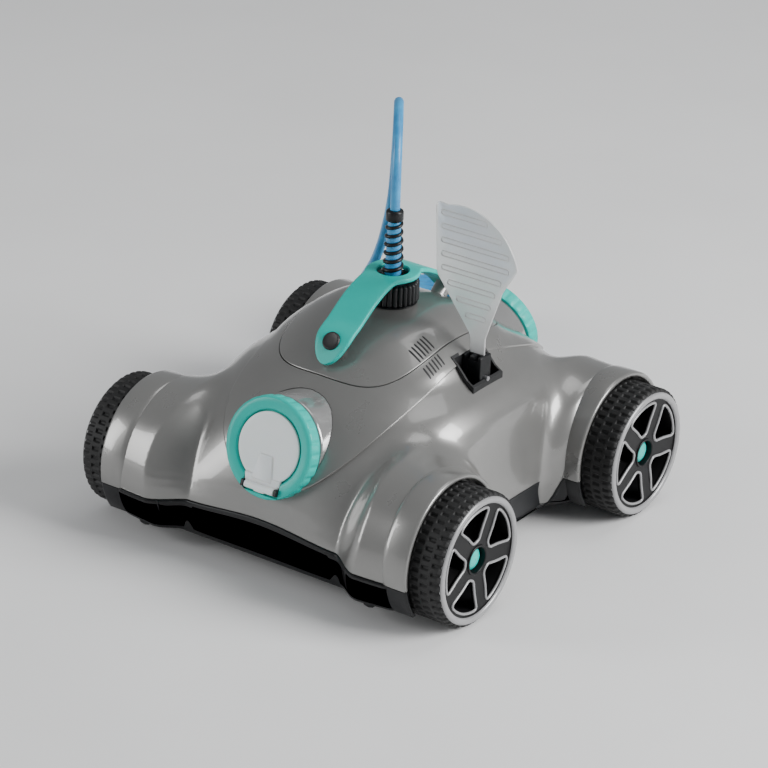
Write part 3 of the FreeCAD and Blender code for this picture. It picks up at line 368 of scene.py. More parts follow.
def lathe(profile, axis, centre, steps, ends="open", wave=None):
    """Turns (along, radius) points round an axis ("X", "Y" or "Z"); wave varies the radius with the angle."""
    angles = np.linspace(0, 2 * math.pi, steps, endpoint=False)
    order = {"X": (0, 1, 2), "Y": (1, 2, 0), "Z": (2, 0, 1)}[axis]
    points = np.zeros((len(profile), steps, 3))
    for row, (along, radius) in enumerate(profile):
        r = radius + (wave(angles, along, radius) if wave else 0)
        points[row][:, order] = np.column_stack([np.full(steps, along), r * np.cos(angles), r * np.sin(angles)])
    return points.reshape(-1, 3) + np.array(centre, float), loop_faces(len(profile), steps, ends)


# ---- the hull's form ----
# half width and half length of the middle body at a height, and how square its corners are
WIDTH_LEVELS = [(17, 123.4), (45, 127.5), (70, 126), (90, 124), (112, 120), (124, 115), (132, 108), (138, 100),
                (145, 91), (157, 81), (166, 71), (175, 58), (180, 46), (183, 25)]
LENGTH_LEVELS = [(17, 167.5), (45, 171.2), (60, 168), (75, 164), (90, 158), (105, 149), (120, 135), (130, 122),
                 (140, 107), (150, 94), (160, 80), (171, 61), (178, 43), (183, 20)]
SQUARE_LEVELS = [(17, 6.0), (45, 6.0), (80, 4.0), (110, 3.0), (140, 2.6), (183, 2.2)]
HEART = np.array([0.0, 0.0, 55.0])      # the skin is cast on rays from here
ARCH_START = 96.0
ARCH_WEB = WHEEL_IN - 3.5
BLEND = 24.0
DRUM_RADIUS = ARCH_RADIUS + 0.4
LIP_RADIUS = ARCH_RADIUS + 0.45
FILLET = 7.0
FAR = 320.0
AROUND = 960                # rays round the heart
EASE_ROUNDS, STEEP = 40, 4.6
ROLLED = 5                  # rows next to a band's free edge that aren't eased along it
EDGE_ROLL = ((3.0, 0.0), (0.9, 0.0), (0.3, 0.2), (0.0, 0.6))        # depth, and turn in SLIPs, of a rolled edge
SLIP = 1.0 / 150.0
LID_PLAN = (66.0, 93.0, 3.4)
CREASE_PLAN = (80.5, 163.0, 3.2)
CREASE_STEP, SKIRT_STEP = 2.2, 0.8
SEAM_GAP = 0.45
TUBE_HOLE, TUBE_FLARE, TUBE_SLACK = 41.0, 0.11, 0.35
POCKET_WALL = 2.0
NOZZLES = (("front", 1.0), ("rear", -1.0))
POCKET_LOW, POCKET_HIGH = node_box("fin_pocket")


def level_curve(levels):
    """Interpolates against the square root of the depth under the dome's top, so that the crown is round."""
    z, value = np.array(levels, float).T
    depth = np.sqrt(DOME_TOP - z)
    depth, value = np.append(depth, 0.0)[::-1], np.append(value, 0.0)[::-1]
    curve = smooth_curve(depth, value)
    return lambda height: curve(np.sqrt(np.maximum(DOME_TOP - height, 0.0)))


half_width = level_curve(WIDTH_LEVELS)
half_length = level_curve(LENGTH_LEVELS)
squareness = smooth_curve(*np.array(SQUARE_LEVELS, float).T)


def middle_body(p):
    x, y, z = np.abs(p[..., 0]), np.abs(p[..., 1]), p[..., 2]
    hx, hy = np.maximum(half_width(z), 1e-3), np.maximum(half_length(z), 1e-3)
    power = squareness(z)
    reach = ((x / hx) ** power + (y / hy) ** power) ** (1 / power)
    return np.where(z > DOME_TOP, 50 + z - DOME_TOP, (reach - 1) * np.minimum(np.minimum(hx, hy), 70.0))


def wheel_drum(p):
    """Distance to the rounded drum round the nearest wheel."""
    x, y, z = np.abs(p[..., 0]), np.abs(p[..., 1]), p[..., 2]
    radial = np.hypot(y - AXLE_Y, z - AXLE_Z) - (DRUM_RADIUS - FILLET)
    along = np.abs(x - (ARCH_START + ARCH_WEB) / 2) - ((ARCH_WEB - ARCH_START) / 2 - FILLET)
    outside = np.hypot(np.maximum(radial, 0), np.maximum(along, 0))
    return outside + np.minimum(np.maximum(radial, along), 0) - FILLET


def hull_form(p):
    """Negative inside the hull: the middle body and the drums, melted together."""
    a, b = middle_body(p), wheel_drum(p)
    h = np.clip(0.5 + 0.5 * (b - a) / BLEND, 0, 1)
    return b * (1 - h) + a * h - BLEND * h * (1 - h)


def furthest_inside(place, low, high):
    """Bisects for the distance where a line leaves the hull; place turns distances into points."""
    for _ in range(26):
        middle = (low + high) / 2
        outside = hull_form(place(middle)) > 0
        high = np.where(outside, middle, high)
        low = np.where(outside, low, middle)
    return low


def skin_point(direction, inset):
    """The skin's point in each direction from the heart."""
    direction = direction / np.linalg.norm(direction, axis=-1, keepdims=True)
    shape = direction.shape[:-1]
    low = furthest_inside(lambda d: HEART + direction * d[..., None], np.zeros(shape), np.full(shape, FAR))
    return HEART + direction * (low - inset)[..., None]


def form_normal(p, step=0.6):
    """Outward direction of the form's skin."""
    slopes = []
    for axis in range(3):
        shift = np.zeros(3)
        shift[axis] = step
        slopes.append(hull_form(p + shift) - hull_form(p - shift))
    slopes = np.stack(slopes, -1)
    return slopes / np.linalg.norm(slopes, axis=-1, keepdims=True)


def eased(band):
    """Softens a band where it steps outwards faster than the grid of rays can follow."""
    distance = np.linalg.norm(band - HEART, axis=-1)
    direction = (band - HEART) / distance[..., None]
    for _ in range(EASE_ROUNDS):
        ahead, behind = np.roll(distance, -1, 1), np.roll(distance, 1, 1)
        steep = np.clip(np.abs(ahead - behind) / STEEP - 1, 0, 1)
        near = np.maximum.reduce([np.roll(steep, k, 1) for k in range(-4, 5)])
        distance = distance + 0.5 * near * ((ahead + behind) / 2 - distance)
        inner = distance[ROLLED:-ROLLED]
        rows = (distance[ROLLED - 1:-ROLLED - 1] + distance[ROLLED + 1:len(distance) - ROLLED + 1]) / 2
        distance[ROLLED:-ROLLED] = inner + 0.5 * near[ROLLED:-ROLLED] * (rows - inner)
    return HEART + direction * distance[..., None]


def skin_normals(band, rolled):
    """The form's own normals, left blank on rolled rows and where the grid leaves the form."""
    normals = form_normal(band)
    along = np.roll(band, -1, 1) - np.roll(band, 1, 1)
    grid = np.cross(along, np.gradient(band, axis=0))
    grid /= np.linalg.norm(grid, axis=-1, keepdims=True) + 1e-9
    apart = np.abs((grid * normals).sum(-1)) < 0.97
    for axis, reach in ((1, 6), (0, 4)):
        apart = np.logical_or.reduce([np.roll(apart, k, axis) for k in range(-reach, reach + 1)])
    normals[apart] = np.nan
    normals[:rolled[0]] = np.nan
    if rolled[1]:
        normals[-rolled[1]:] = np.nan
    return normals.reshape(-1, 3)


def skin_at_plan(x, y):
    """The skin's height over points of the plan."""
    low, high = np.full(np.shape(x), 60.0), np.full(np.shape(x), DOME_TOP + 5.0)
    return furthest_inside(lambda z: np.stack([x, y, z], -1), low, high)


def outline_at(angles, z):
    """The hull's outline in plan at a height, as points, for each angle round the heart."""
    flat = np.stack([np.cos(angles), np.sin(angles)], -1)
    level = np.broadcast_to(z, angles.shape)[:, None]

    def place(distance):
        return np.concatenate([flat * distance[:, None], level], -1)

    return place(furthest_inside(place, np.zeros_like(angles), np.full_like(angles, FAR)))


def superellipse(angles, half_x, half_y, power):
    """Plan radius of a rounded rectangle round the origin."""
    x, y = np.abs(np.cos(angles)) / half_x, np.abs(np.sin(angles)) / half_y
    return (x ** power + y ** power) ** (-1 / power)


def elevation_of(points):
    lifted = points - HEART
    return np.arctan2(lifted[..., 2], np.hypot(lifted[..., 0], lifted[..., 1]))


def curve_elevation(angles, radius):
    """Elevation from the heart of the skin over a curve drawn in plan."""
    x, y = radius * np.cos(angles), radius * np.sin(angles)
    return elevation_of(np.stack([x, y, skin_at_plan(x, y)], -1))


def parting_height(angles):
    """The shell's lower edge: low along the sides, higher and bowed at the ends and round the wheels."""
    at = outline_at(angles, 45.0)
    x, y = np.abs(at[:, 0]), np.abs(at[:, 1])
    step = np.clip((y - 56) / 6, 0, 1)
    ends = np.clip((y - 140) / 20, 0, 1) * np.exp(-(x / 62) ** 2)
    return 20 + 24 * step * step * (3 - 2 * step) + 8 * ends


def band_of_skin(angles, top, bottom, rows, roll_top=True, roll_bottom=True, step=0.0):
    """Skin between two elevations, with its free edges rolled inwards. step sinks it."""
    share = np.linspace(0, 1, rows)[:, None]
    elevations = list(top[None, :] * (1 - share) + bottom[None, :] * share)
    insets = [step] * rows
    if roll_top:
        elevations = [elevations[0] - turn * SLIP for _, turn in EDGE_ROLL] + elevations[1:]
        insets = [step + sink for sink, _ in EDGE_ROLL] + insets[1:]
    if roll_bottom:
        elevations = elevations[:-1] + [elevations[-1] + turn * SLIP for _, turn in EDGE_ROLL[::-1]]
        insets = insets[:-1] + [step + sink for sink, _ in EDGE_ROLL[::-1]]
    elevations = np.array(elevations)
    direction = np.stack([np.cos(elevations) * np.cos(angles), np.cos(elevations) * np.sin(angles),
                          np.sin(elevations)], -1)
    return eased(skin_point(direction, np.array(insets)[:, None]))


def from_nozzle(points, end):
    """Distance along and out from a jet tube's axis, and the direction out from it."""
    axis = NOZZLE_OUT * np.array([1, end, 1])
    offset = points - NOZZLE_AT * np.array([1, end, 1])
    along = offset @ axis
    out = offset - along[:, None] * axis
    return along, np.linalg.norm(out, axis=1), out


def cut_away(points, faces):
    """Leaves out the faces in the jet tubes and over the fin's pocket, and trims the edges to a clean line."""
    faces = np.asarray(faces)
    centre = points[faces].mean(axis=1)
    keep = np.ones(len(centre), bool)
    trims = []
    for _, end in NOZZLES:
        along, away, _ = from_nozzle(centre, end)
        gone = (away < tube_reach(along)) & (along > -95)
        keep &= ~gone
        trims.append(gone)
    half_x = (POCKET_HIGH[0] - POCKET_LOW[0]) / 2 - POCKET_WALL
    half_y = POCKET_HIGH[1] - POCKET_WALL
    gone = (np.abs(centre[:, 0] - FIN_AT[0]) < half_x) & (np.abs(centre[:, 1]) < half_y) & (centre[:, 2] > 100)
    keep &= ~gone
    for (_, end), region in zip(NOZZLES, trims):
        edge = np.intersect1d(faces[region], faces[keep])
        if len(edge):
            along, away, out = from_nozzle(points[edge], end)
            points[edge] += out * (tube_reach(along) / away - 1)[:, None]
    edge = np.intersect1d(faces[gone], faces[keep])
    if len(edge):
        x, y = points[edge, 0] - FIN_AT[0], points[edge, 1]
        to_side, to_end = half_x - np.abs(x), half_y - np.abs(y)
        side = np.abs(to_side) < np.abs(to_end)
        x = np.where(side, np.sign(x) * half_x, np.clip(x, -half_x, half_x))
        y = np.where(side, np.clip(y, -half_y, half_y), np.sign(y) * half_y)
        points[edge, 0], points[edge, 1] = x + FIN_AT[0], y
    return faces[keep]


def tube_reach(along):
    """Radius of the hole round a jet tube, which widens behind the ring."""
    return TUBE_HOLE + TUBE_FLARE * np.clip(-along - 11.0, 0, 60)


def hull_skin():
    angles = np.linspace(0, 2 * math.pi, AROUND, endpoint=False)
    lid_edge = superellipse(angles, *LID_PLAN)
    seam = curve_elevation(angles, lid_edge + SEAM_GAP)
    crease = curve_elevation(angles, superellipse(angles, *CREASE_PLAN))
    parting = elevation_of(outline_at(angles, parting_height(angles)))
    bottom = elevation_of(outline_at(angles, BASE_BOTTOM))
    upper = band_of_skin(angles, seam, crease, 70, roll_bottom=False)
    lower = band_of_skin(angles, crease, parting, 190, roll_top=False, step=CREASE_STEP)
    both = np.concatenate([upper, lower])
    normals = skin_normals(both, (4, 3))
    edge = len(upper)
    normals.reshape(both.shape)[edge - 1:edge + 1] = np.nan
    points = both.reshape(-1, 3)
    form = points, cut_away(points, grid_faces(len(both), AROUND))
    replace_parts(add_piece("shell_skin", form, "shell", "hull", normals), "upper_shell")
    skirt = band_of_skin(angles, parting, bottom, 40, step=SKIRT_STEP)
    form = skirt.reshape(-1, 3), grid_faces(len(skirt), AROUND)
    add_piece("skirt_skin", form, "base", "hull", skin_normals(skirt, (4, 3)))
    crown = np.full(AROUND, math.pi / 2 - 0.004)
    lid = band_of_skin(angles, crown, curve_elevation(angles, lid_edge), 90, roll_top=False)
    points = np.concatenate([lid.reshape(-1, 3), [[0, 0, DOME_TOP]]])
    middle = len(points) - 1
    faces = [list(f) for f in cut_away(points, grid_faces(len(lid), AROUND))]
    faces += [[i, (i + 1) % AROUND, middle] for i in range(AROUND)]
    normals = np.concatenate([skin_normals(lid, (1, 3)), [[0, 0, 1]]])
    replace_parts(add_piece("lid_skin", (points, faces), "shell", "hull", normals), "top_cover")


# ---- finer helpers ----
def carve(piece, points, faces):
    """Cuts a closed form out of a piece."""
    cutter = link("cutter", closed_mesh("cutter", points, faces))
    cut = piece.modifiers.new("cut", "BOOLEAN")
    cut.operation = "DIFFERENCE"
    cut.solver = "EXACT"
    cut.object = cutter
    bpy.context.view_layer.update()
    graph = bpy.context.evaluated_depsgraph_get()
    result = bpy.data.meshes.new_from_object(piece.evaluated_get(graph))
    piece.modifiers.clear()
    old = piece.data
    piece.data = result
    bpy.data.meshes.remove(old)
    bpy.data.objects.remove(cutter)


def prism_form(outline, low, high, place):
    """A closed prism over a plan outline of (u, v) points; place turns (u, v, w) rows into points."""
    return pillow_form(outline, [(low, 0), (high, 0)], place)


def pillow_form(outline, layers, place):
    """A closed form over an outline, from layers of (height, inset); the ends are flat faces."""
    outline = np.asarray(outline, float)
    ahead, behind = np.roll(outline, -1, 0) - outline, outline - np.roll(outline, 1, 0)
    normal = ahead / np.linalg.norm(ahead, axis=1)[:, None] + behind / np.linalg.norm(behind, axis=1)[:, None]
    normal = np.column_stack([normal[:, 1], -normal[:, 0]])
    normal /= np.linalg.norm(normal, axis=1)[:, None]
    area = np.sum(outline[:, 0] * np.roll(outline[:, 1], -1) - outline[:, 1] * np.roll(outline[:, 0], -1))
    normal *= np.sign(area)
    count = len(outline)
    rows = [np.column_stack([outline - normal * inset, np.full(count, height)]) for height, inset in layers]
    return place(np.concatenate(rows)), loop_faces(len(rows), count, "capped")


def rounded_polygon(corners, radius, steps=6):
    """Outline with its corners rounded; radius may be one number or one for each corner."""
    corners = np.asarray(corners, float)
    radii = np.broadcast_to(radius, len(corners))
    outline = []
    for i, corner in enumerate(corners):
        before, after = corners[i - 1] - corner, corners[(i + 1) % len(corners)] - corner
        a, b = before / np.linalg.norm(before), after / np.linalg.norm(after)
        half = math.acos(float(np.clip(a @ b, -1, 1))) / 2
        reach = min(radii[i] / math.tan(half), 0.48 * min(np.linalg.norm(before), np.linalg.norm(after)))
        for t in np.linspace(0, 1, steps):
            outline.append(corner + a * reach * (1 - t) ** 2 + b * reach * t ** 2)
    return np.array(outline)


def swept(path, radius, steps=8, closed=False):
    """A tube of circles along a path of points; radius may vary along it."""
    path = np.asarray(path, float)
    radii = np.broadcast_to(radius, len(path))
    if closed:
        tangent = np.roll(path, -1, 0) - np.roll(path, 1, 0)
    else:
        tangent = np.gradient(path, axis=0)
    tangent /= np.linalg.norm(tangent, axis=1)[:, None]
    side = np.cross(tangent[0], [0.3, 0.5, 0.8])
    rings = []
    for point, t, r in zip(path, tangent, radii):
        side = side - t * (side @ t)
        side /= np.linalg.norm(side)
        other = np.cross(t, side)
        a = np.linspace(0, 2 * math.pi, steps, endpoint=False)
        rings.append(point + r * (np.cos(a)[:, None] * side + np.sin(a)[:, None] * other))
    faces = loop_faces(len(path), steps, "open" if closed else "capped")
    if closed:
        last = (len(path) - 1) * steps
        # the frame comes back turned, so join each point with its nearest
        shift = int(np.argmin(np.linalg.norm(rings[0] - rings[-1][0], axis=1)))
        faces += [[last + i, last + (i + 1) % steps, (i + 1 + shift) % steps, (i + shift) % steps]
                  for i in range(steps)]
    return np.concatenate(rings), faces


def block_form(low, high):
    """A closed box, for cutting."""
    low, high = np.array(low, float), np.array(high, float)
    corners = [[low[0], low[1]], [high[0], low[1]], [high[0], high[1]], [low[0], high[1]]]
    return prism_form(corners, low[2], high[2], lambda rows: rows)


# ---- cable ----
CABLE = 8.2
CABLE_EXIT = np.array([0.0, 2.0, 262.0])
COIL_AT = np.array([-154.0, 262.0])
COIL_MEAN = 6 * CABLE
COIL_LANES, COIL_LAYERS = 5, 6
COIL_STEPS = 18                         # points on a turn
COIL_START = math.radians(210)
COIL_SHORT = round(150 / 360 * COIL_STEPS)      # the last turn stops on the coil's right side
CABLE_CORNERS = [(0, 0, 0), (0, 0, -0.188), (0.107, 0.092, -0.324), (0.258, 0.221, -0.324),
                 (0.373, 0.319, -0.183), (0.453, 0.382, 0.009), (0.533, 0.440, 0.221),
                 (0.645, 0.498, 0.423), (0.782, 0.568, 0.588), (0.937, 0.640, 0.719),
                 (1.085, 0.705, 0.861), (1.224, 0.770, 0.969)]


def softened_path(corners):
    """Points along straight runs joined by arcs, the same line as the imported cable's."""
    corners = [np.array(c, float) for c in corners]
    line = [corners[0]]
    for before, corner, after in zip(corners, corners[1:], corners[2:]):
        a, b = before - corner, after - corner
        reach = 0.45 * min(np.linalg.norm(a), np.linalg.norm(b))
        first, last = corner + a / np.linalg.norm(a) * reach, corner + b / np.linalg.norm(b) * reach
        for t in (0, 0.25, 0.5, 0.75, 1):
            line.append(first * (1 - t) ** 2 + corner * 2 * t * (1 - t) + last * t ** 2)
    line.append(corners[-1])
    return line


def coil_points():
    """Turns laid lane by lane, from the outside of the top layer down to the bottom."""
    lanes = [COIL_MEAN + (COIL_LANES - 1 - 2 * i) / 2 * CABLE for i in range(COIL_LANES)]
    order = []
    for layer in range(COIL_LAYERS):
        z = (COIL_LAYERS - 0.5 - layer) * CABLE
        order += [(lane, z) for lane in (lanes if layer % 2 == 0 else lanes[::-1])]
    points = []
    for i in range(len(order) * COIL_STEPS - COIL_SHORT + 1):
        share = i / COIL_STEPS
        index = min(int(share), len(order) - 1)
        part = share - index
        radius, z = order[index]
        if index + 1 < len(order) and part > 0.8:
            ease = (part - 0.8) / 0.2
            ease = ease * ease * (3 - 2 * ease)
            radius += (order[index + 1][0] - radius) * ease
            z += (order[index + 1][1] - z) * ease
        angle = COIL_START - 2 * math.pi * share
        points.append(np.array([*(COIL_AT + radius * np.array([math.cos(angle), math.sin(angle)])), z]))
    return points


def add_cable():
    span = np.array([COIL_AT[0], COIL_AT[1] - CABLE_EXIT[1], COIL_LAYERS * CABLE - CABLE_EXIT[2]])
    corners = [CABLE_EXIT + span * np.array(c) for c in CABLE_CORNERS]
    coil = coil_points()
    line = softened_path(corners + coil[:1]) + coil[1:]
    lane, last_y, _ = coil[-1]
    line += [np.array([lane, last_y - ahead, z]) for ahead, z in ((10, 4.2), (24, 4.3), (32, 6.0), (40, 8.6))]
    curve = bpy.data.curves.new("cable", "CURVE")
    curve.dimensions = "3D"
    curve.bevel_depth = CABLE / 2 * MM
    curve.bevel_resolution = 5
    curve.use_fill_caps = True
    spline = curve.splines.new("NURBS")
    spline.points.add(len(line) - 1)
    for point, at in zip(spline.points, line):
        point.co = (*(at * MM), 1.0)
    spline.order_u = 3
    spline.use_endpoint_u = True
    spline.resolution_u = 4
    cable = link("cable", curve)
    paint(cable, "cable")
    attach(cable, "hull")
    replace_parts(cable, "cable_run", "cable_coil", "cable_lead_out")
    length = sum(np.linalg.norm(b - a) for a, b in zip(line, line[1:]))
    plug = add_plug(line[-1])
    return cable


def add_plug(tip):
    """A waterproof connector with a ribbed ring, lying in front of the coil."""
    profile = [(0, 4.3), (0, 5.8), (-1, 6.5), (-9, 6.5), (-10, 7.4), (-19, 7.5), (-20, 8.4), (-20.6, 8.8),
               (-36, 8.8), (-37.4, 8.4), (-38, 7.6), (-38, 6.2), (-37, 6.0), (-30, 6.0), (-30, 0.2)]

    def ribs(angles, _, radius):
        return -0.5 * (0.5 - 0.5 * np.cos(18 * angles)) if radius > 8.5 else 0

    form = lathe(profile, "Y", (tip[0], tip[1], 9.0), 72, wave=ribs)
    return finish_piece(add_piece("plug", form, "base", "hull"), 35, "cable_plug")


# ---- nozzles ----
def nozzle_place(end):
    """Turns (x, up, out) rows at a nozzle into points; the rear one is turned half round."""
    turn = np.array([end, end, 1.0])

    def place(rows):
        rows = np.asarray(rows, float)
        return (NOZZLE_AT + rows @ np.array([[1.0, 0, 0], NOZZLE_UP, NOZZLE_OUT])) * turn

    return place


def lathe_on(profile, place, steps=144, ends="joined", wave=None):
    """Turns (out, radius) points round the nozzle's axis."""
    points, faces = lathe(profile, "Z", (0, 0, 0), steps, ends, wave)
    return place(points), faces


def grip(angles, out, radius):
    """Shallow finger flutes round the ring's side."""
    if radius < 40 or not -8 < out < 2.2:
        return 0
    return -0.9 * (0.5 - 0.5 * np.cos(26 * angles)) ** 3


def add_nozzle(name, end):
    place = nozzle_place(end)
    profile = [(-9, 39.6), (-8.6, 40.6), (-7.6, 41.3), (-6, 41.5), (-4, 41.5), (-2, 41.5), (0, 41.5),
               (1.6, 41.4), (2.6, 41.0), (3.5, 40.1), (4.0, 38.8), (3.9, 36), (3.6, 33.5), (3.3, 31.6),
               (2.8, 30.7), (2.0, 30.2), (0.5, 30.1), (0.3, 29.8), (0.3, 26.2), (0, 25.8), (-9, 25.8), (-9, 30)]
    body = "nozzle_" + name
    ring = add_piece(body + "_ring", lathe_on(profile, place, 312, wave=grip), "teal", body)
    outline = rounded_polygon([(-17.4, -37.6), (17.4, -37.6), (17.4, -20), (-17.4, -20)], 1.2, 4)
    carve(ring, *prism_form(outline, 0.6, 12, place))
    finish_piece(ring, 32, "nozzle_ring_" + name)
    # hinge ears with the pin between them
    parts = []
    for side in (-1, 1):
        low, high = sorted((side * 14.9, side * 17.2))
        ear = rounded_polygon([(-35.4, 0), (-29.6, 0), (-29.6, 7.2), (-35.4, 7.2)], 1.6, 5)
        parts.append(prism_form(ear, low, high, lambda rows: place(rows[:, [2, 0, 1]])))
    parts.append(swept(place([(x, -32.5, 4.6) for x in (-17.0, 0.0, 17.0)]), 1.5, 20))
    finish_piece(add_piece(body + "_ears", merged(parts), "trim", body), 35)


def add_flap(name, end):
    place = nozzle_place(end)
    face = 3.4
    profile = [(0.9, 0.4), (0.9, 28.0), (1.5, 28.7), (2.6, 28.8), (3.2, 28.5), (3.5, 27.6), (3.55, 26),
               (3.7, 18), (3.8, 9), (3.85, 0.4)]
    disc = lathe_on(profile, place, ends="capped")
    tab = rounded_polygon([(-9.6, -27), (9.6, -27), (6.2, -5.5), (-6.2, -5.5)], [1, 1, 2.5, 2.5], 6)
    tab_form = pillow_form(tab, [(2, 0), (face + 0.6, 0), (face + 1.3, 0.3), (face + 1.7, 1.0)], place)
    apron = rounded_polygon([(-16, -30), (-11, -31.8), (11, -31.8), (16, -30), (17.4, -23),
                             (-17.4, -23)], 1.5, 5)
    apron_form = pillow_form(apron, [(1.2, 0), (3.4, 0), (4.0, 0.4), (4.3, 1.2)], place)
    barrel = swept(place([(x, -32.5, 4.6) for x in (-14, -13.7, -5, 5, 13.7, 14)]), [2.5, 3, 3, 3, 3, 2.5], 28)
    lug = rounded_polygon([(-5, -36.4), (5, -36.4), (6.5, -31), (-6.5, -31)], 1.2, 4)
    lug_form = pillow_form(lug, [(1.5, 0), (5.2, 0), (5.8, 0.5)], place)
    form = merged([disc, tab_form, apron_form, barrel, lug_form])
    flap = add_piece("nozzle_" + name + "_flap", form, "flap", "flap_" + name)
    finish_piece(flap, 40, "jet_flap_" + name)


def add_tube(name, end):
    """The glossy jet tube behind the ring, with a soft step where the ring turns on it."""
    place = nozzle_place(end)
    slim = TUBE_HOLE - TUBE_SLACK
    profile = [(-88, 36.5), (-88, slim + 6.4), (-71, slim + 6.5), (-50, slim + 39 * TUBE_FLARE),
               (-30, slim + 19 * TUBE_FLARE), (-13, slim + 0.2), (-11.6, slim - 0.1), (-11, slim - 0.8),
               (-10.8, 38.6), (-9.2, 38.4), (-9.0, 37.8), (-9.0, 36.5)]
    tube = add_piece("nozzle_" + name + "_tube", lathe_on(profile, place, 180), "tube", "hull")
    finish_piece(tube, 45, "jet_tube_" + name)


# ---- wheels ----
WHEELS = [(end + "_" + side, x, y) for end, y in (("front", -1), ("rear", 1)) for side, x in (("left", -1),
          ("right", 1))]
TREAD_PITCHES = 46
TREAD_DEPTH = 1.5
TYRE_OUT = WHEEL_OUT - 1.6
WINDOWS = 5
# the wheel's turned parts: material, steps and closed profile
TURNED = {
    # the outer ring is light grey as painted reflection
    "rim_ring": ("lip", 160, [
        (WHEEL_OUT - 3.8, 46.2), (WHEEL_OUT - 1.8, 46.4), (WHEEL_OUT - 0.7, 47.0), (WHEEL_OUT - 0.1, 48.2),
        (WHEEL_OUT - 0.1, 50.2), (WHEEL_OUT - 0.7, 51.6), (WHEEL_OUT - 1.8, 52.2), (WHEEL_OUT - 3.8, 52.2)]),
    "rim_barrel": ("rim", 160, [
        (WHEEL_IN + 1, 42.5), (WHEEL_OUT - 5, 43.2), (WHEEL_OUT - 3, 44.6), (WHEEL_OUT - 3, 46.2),
        (WHEEL_IN + 1, 46.2)]),
    # a dark disc behind the windows, put there so they read dark: painted shade
    "rim_shade_disc": ("rim", 160, [
        (WHEEL_IN + 6, 6.2), (WHEEL_IN + 6, 43.0), (WHEEL_IN + 4, 43.4), (WHEEL_IN + 2.4, 42.0),
        (WHEEL_IN + 2.4, 6.2)]),
    "rim_hub": ("rim", 72, [
        (WHEEL_IN + 3, 6.2), (WHEEL_IN + 3, 12.0), (WHEEL_OUT - 4.6, 12.6), (WHEEL_OUT - 2.9, 12.6),
        (WHEEL_OUT - 2.5, 12.2), (WHEEL_OUT - 2.5, 11.2), (WHEEL_OUT - 3.0, 10.6), (WHEEL_OUT - 13.4, 10.4),
        (WHEEL_OUT - 13.4, 6.2)]),
}
CAP_PROFILE = [(WHEEL_OUT - 13, 0.3), (WHEEL_OUT - 13, 9.8), (WHEEL_OUT - 8.6, 9.8), (WHEEL_OUT - 7.6, 9.3),
               (WHEEL_OUT - 6.4, 7.9), (WHEEL_OUT - 5.4, 5.6), (WHEEL_OUT - 4.9, 3.2), (WHEEL_OUT - 4.7, 0.3)]


def wheel_lathe(profile, steps=160):
    """Turns closed (x, radius) points round X, the wheel's centre at Y = Z = 0."""
    return lathe(profile, "X", (0, 0, 0), steps, "joined")


def tread_depth(share, angle):
    """How deep the tread's slots are cut, by place across the tyre and angle."""
    depth = np.zeros_like(angle)
    cell = angle / (2 * math.pi) * TREAD_PITCHES
    rows = [(0.05, 0.24, 0.0), (0.29, 0.48, 0.5), (0.53, 0.72, 0.0), (0.78, 1.01, 0.5)]
    for low, high, shift in rows:
        phase = (cell + shift) % 1.0
        inside = np.clip((0.24 - np.abs(phase - 0.5)) / 0.10, 0, 1)
        across = np.clip((share - low) / 0.015, 0, 1) * np.clip((high - share) / 0.015, 0, 1)
        depth = np.maximum(depth, inside * across)
    return depth * TREAD_DEPTH


def tyre_form():
    steps = TREAD_PITCHES * 10
    angles = np.linspace(0, 2 * math.pi, steps, endpoint=False)
    rings = []
    for share in (0, 0.02, 0.045, 0.065, 0.1, 0.15, 0.2, 0.225, 0.245, 0.285, 0.305, 0.35, 0.4, 0.44, 0.465, 0.485,
                  0.525, 0.545, 0.59, 0.64, 0.68, 0.705, 0.725, 0.775, 0.795, 0.83, 0.87, 0.91, 0.95, 0.98, 1.0):
        shoulder = 2.6 * max(0, (abs(share - 0.5) - 0.42) / 0.08) ** 2
        r = WHEEL_RADIUS - shoulder - tread_depth(np.full(steps, share), angles)
        rings.append((WHEEL_IN + (TYRE_OUT - WHEEL_IN) * share, r))
    inner = WHEEL_RADIUS - 9.0
    back, front = [(WHEEL_IN, inner), (WHEEL_IN, inner + 3)], [(TYRE_OUT, inner + 6.5), (TYRE_OUT - 0.4, inner)]
    return wheel_lathe(back + rings + front, steps)


def window_outline(turn):
    """A rounded three-sided window with its point to the hub, as (radial, across) turned to its place."""
    corners = []
    outer, inner, half = 43.6, 16.6, math.radians(27.5)
    for a in (-half, -half * 0.5, 0, half * 0.5, half):
        corners.append((outer * math.cos(a), outer * math.sin(a)))
    corners += [(inner + 10.0, 10.2), (inner, 3.6), (inner, -3.6), (inner + 10.0, -10.2)]
    outline = rounded_polygon(corners, [11.0, 60, 60, 60, 11.0, 40, 5.5, 5.5, 40], 10)
    c, s = math.cos(turn), math.sin(turn)
    return np.column_stack([outline[:, 0] * c - outline[:, 1] * s, outline[:, 0] * s + outline[:, 1] * c])


def dish(radius):
    """How far the spokes' face lies inside the wheel's outer face."""
    return 2.6 + 0.9 * np.clip((44 - radius) / 30, 0, 1)


def rim_form():
    """Profile of the spoked disc: its dished face, and its back 3.2 mm behind."""
    radii = np.array([11.6, 16, 22, 28, 34, 40, 46.6])
    face = [(WHEEL_OUT - dish(r), r) for r in radii]
    back = [(WHEEL_OUT - dish(r) - 3.2, r) for r in radii[::-1]]
    return face + back


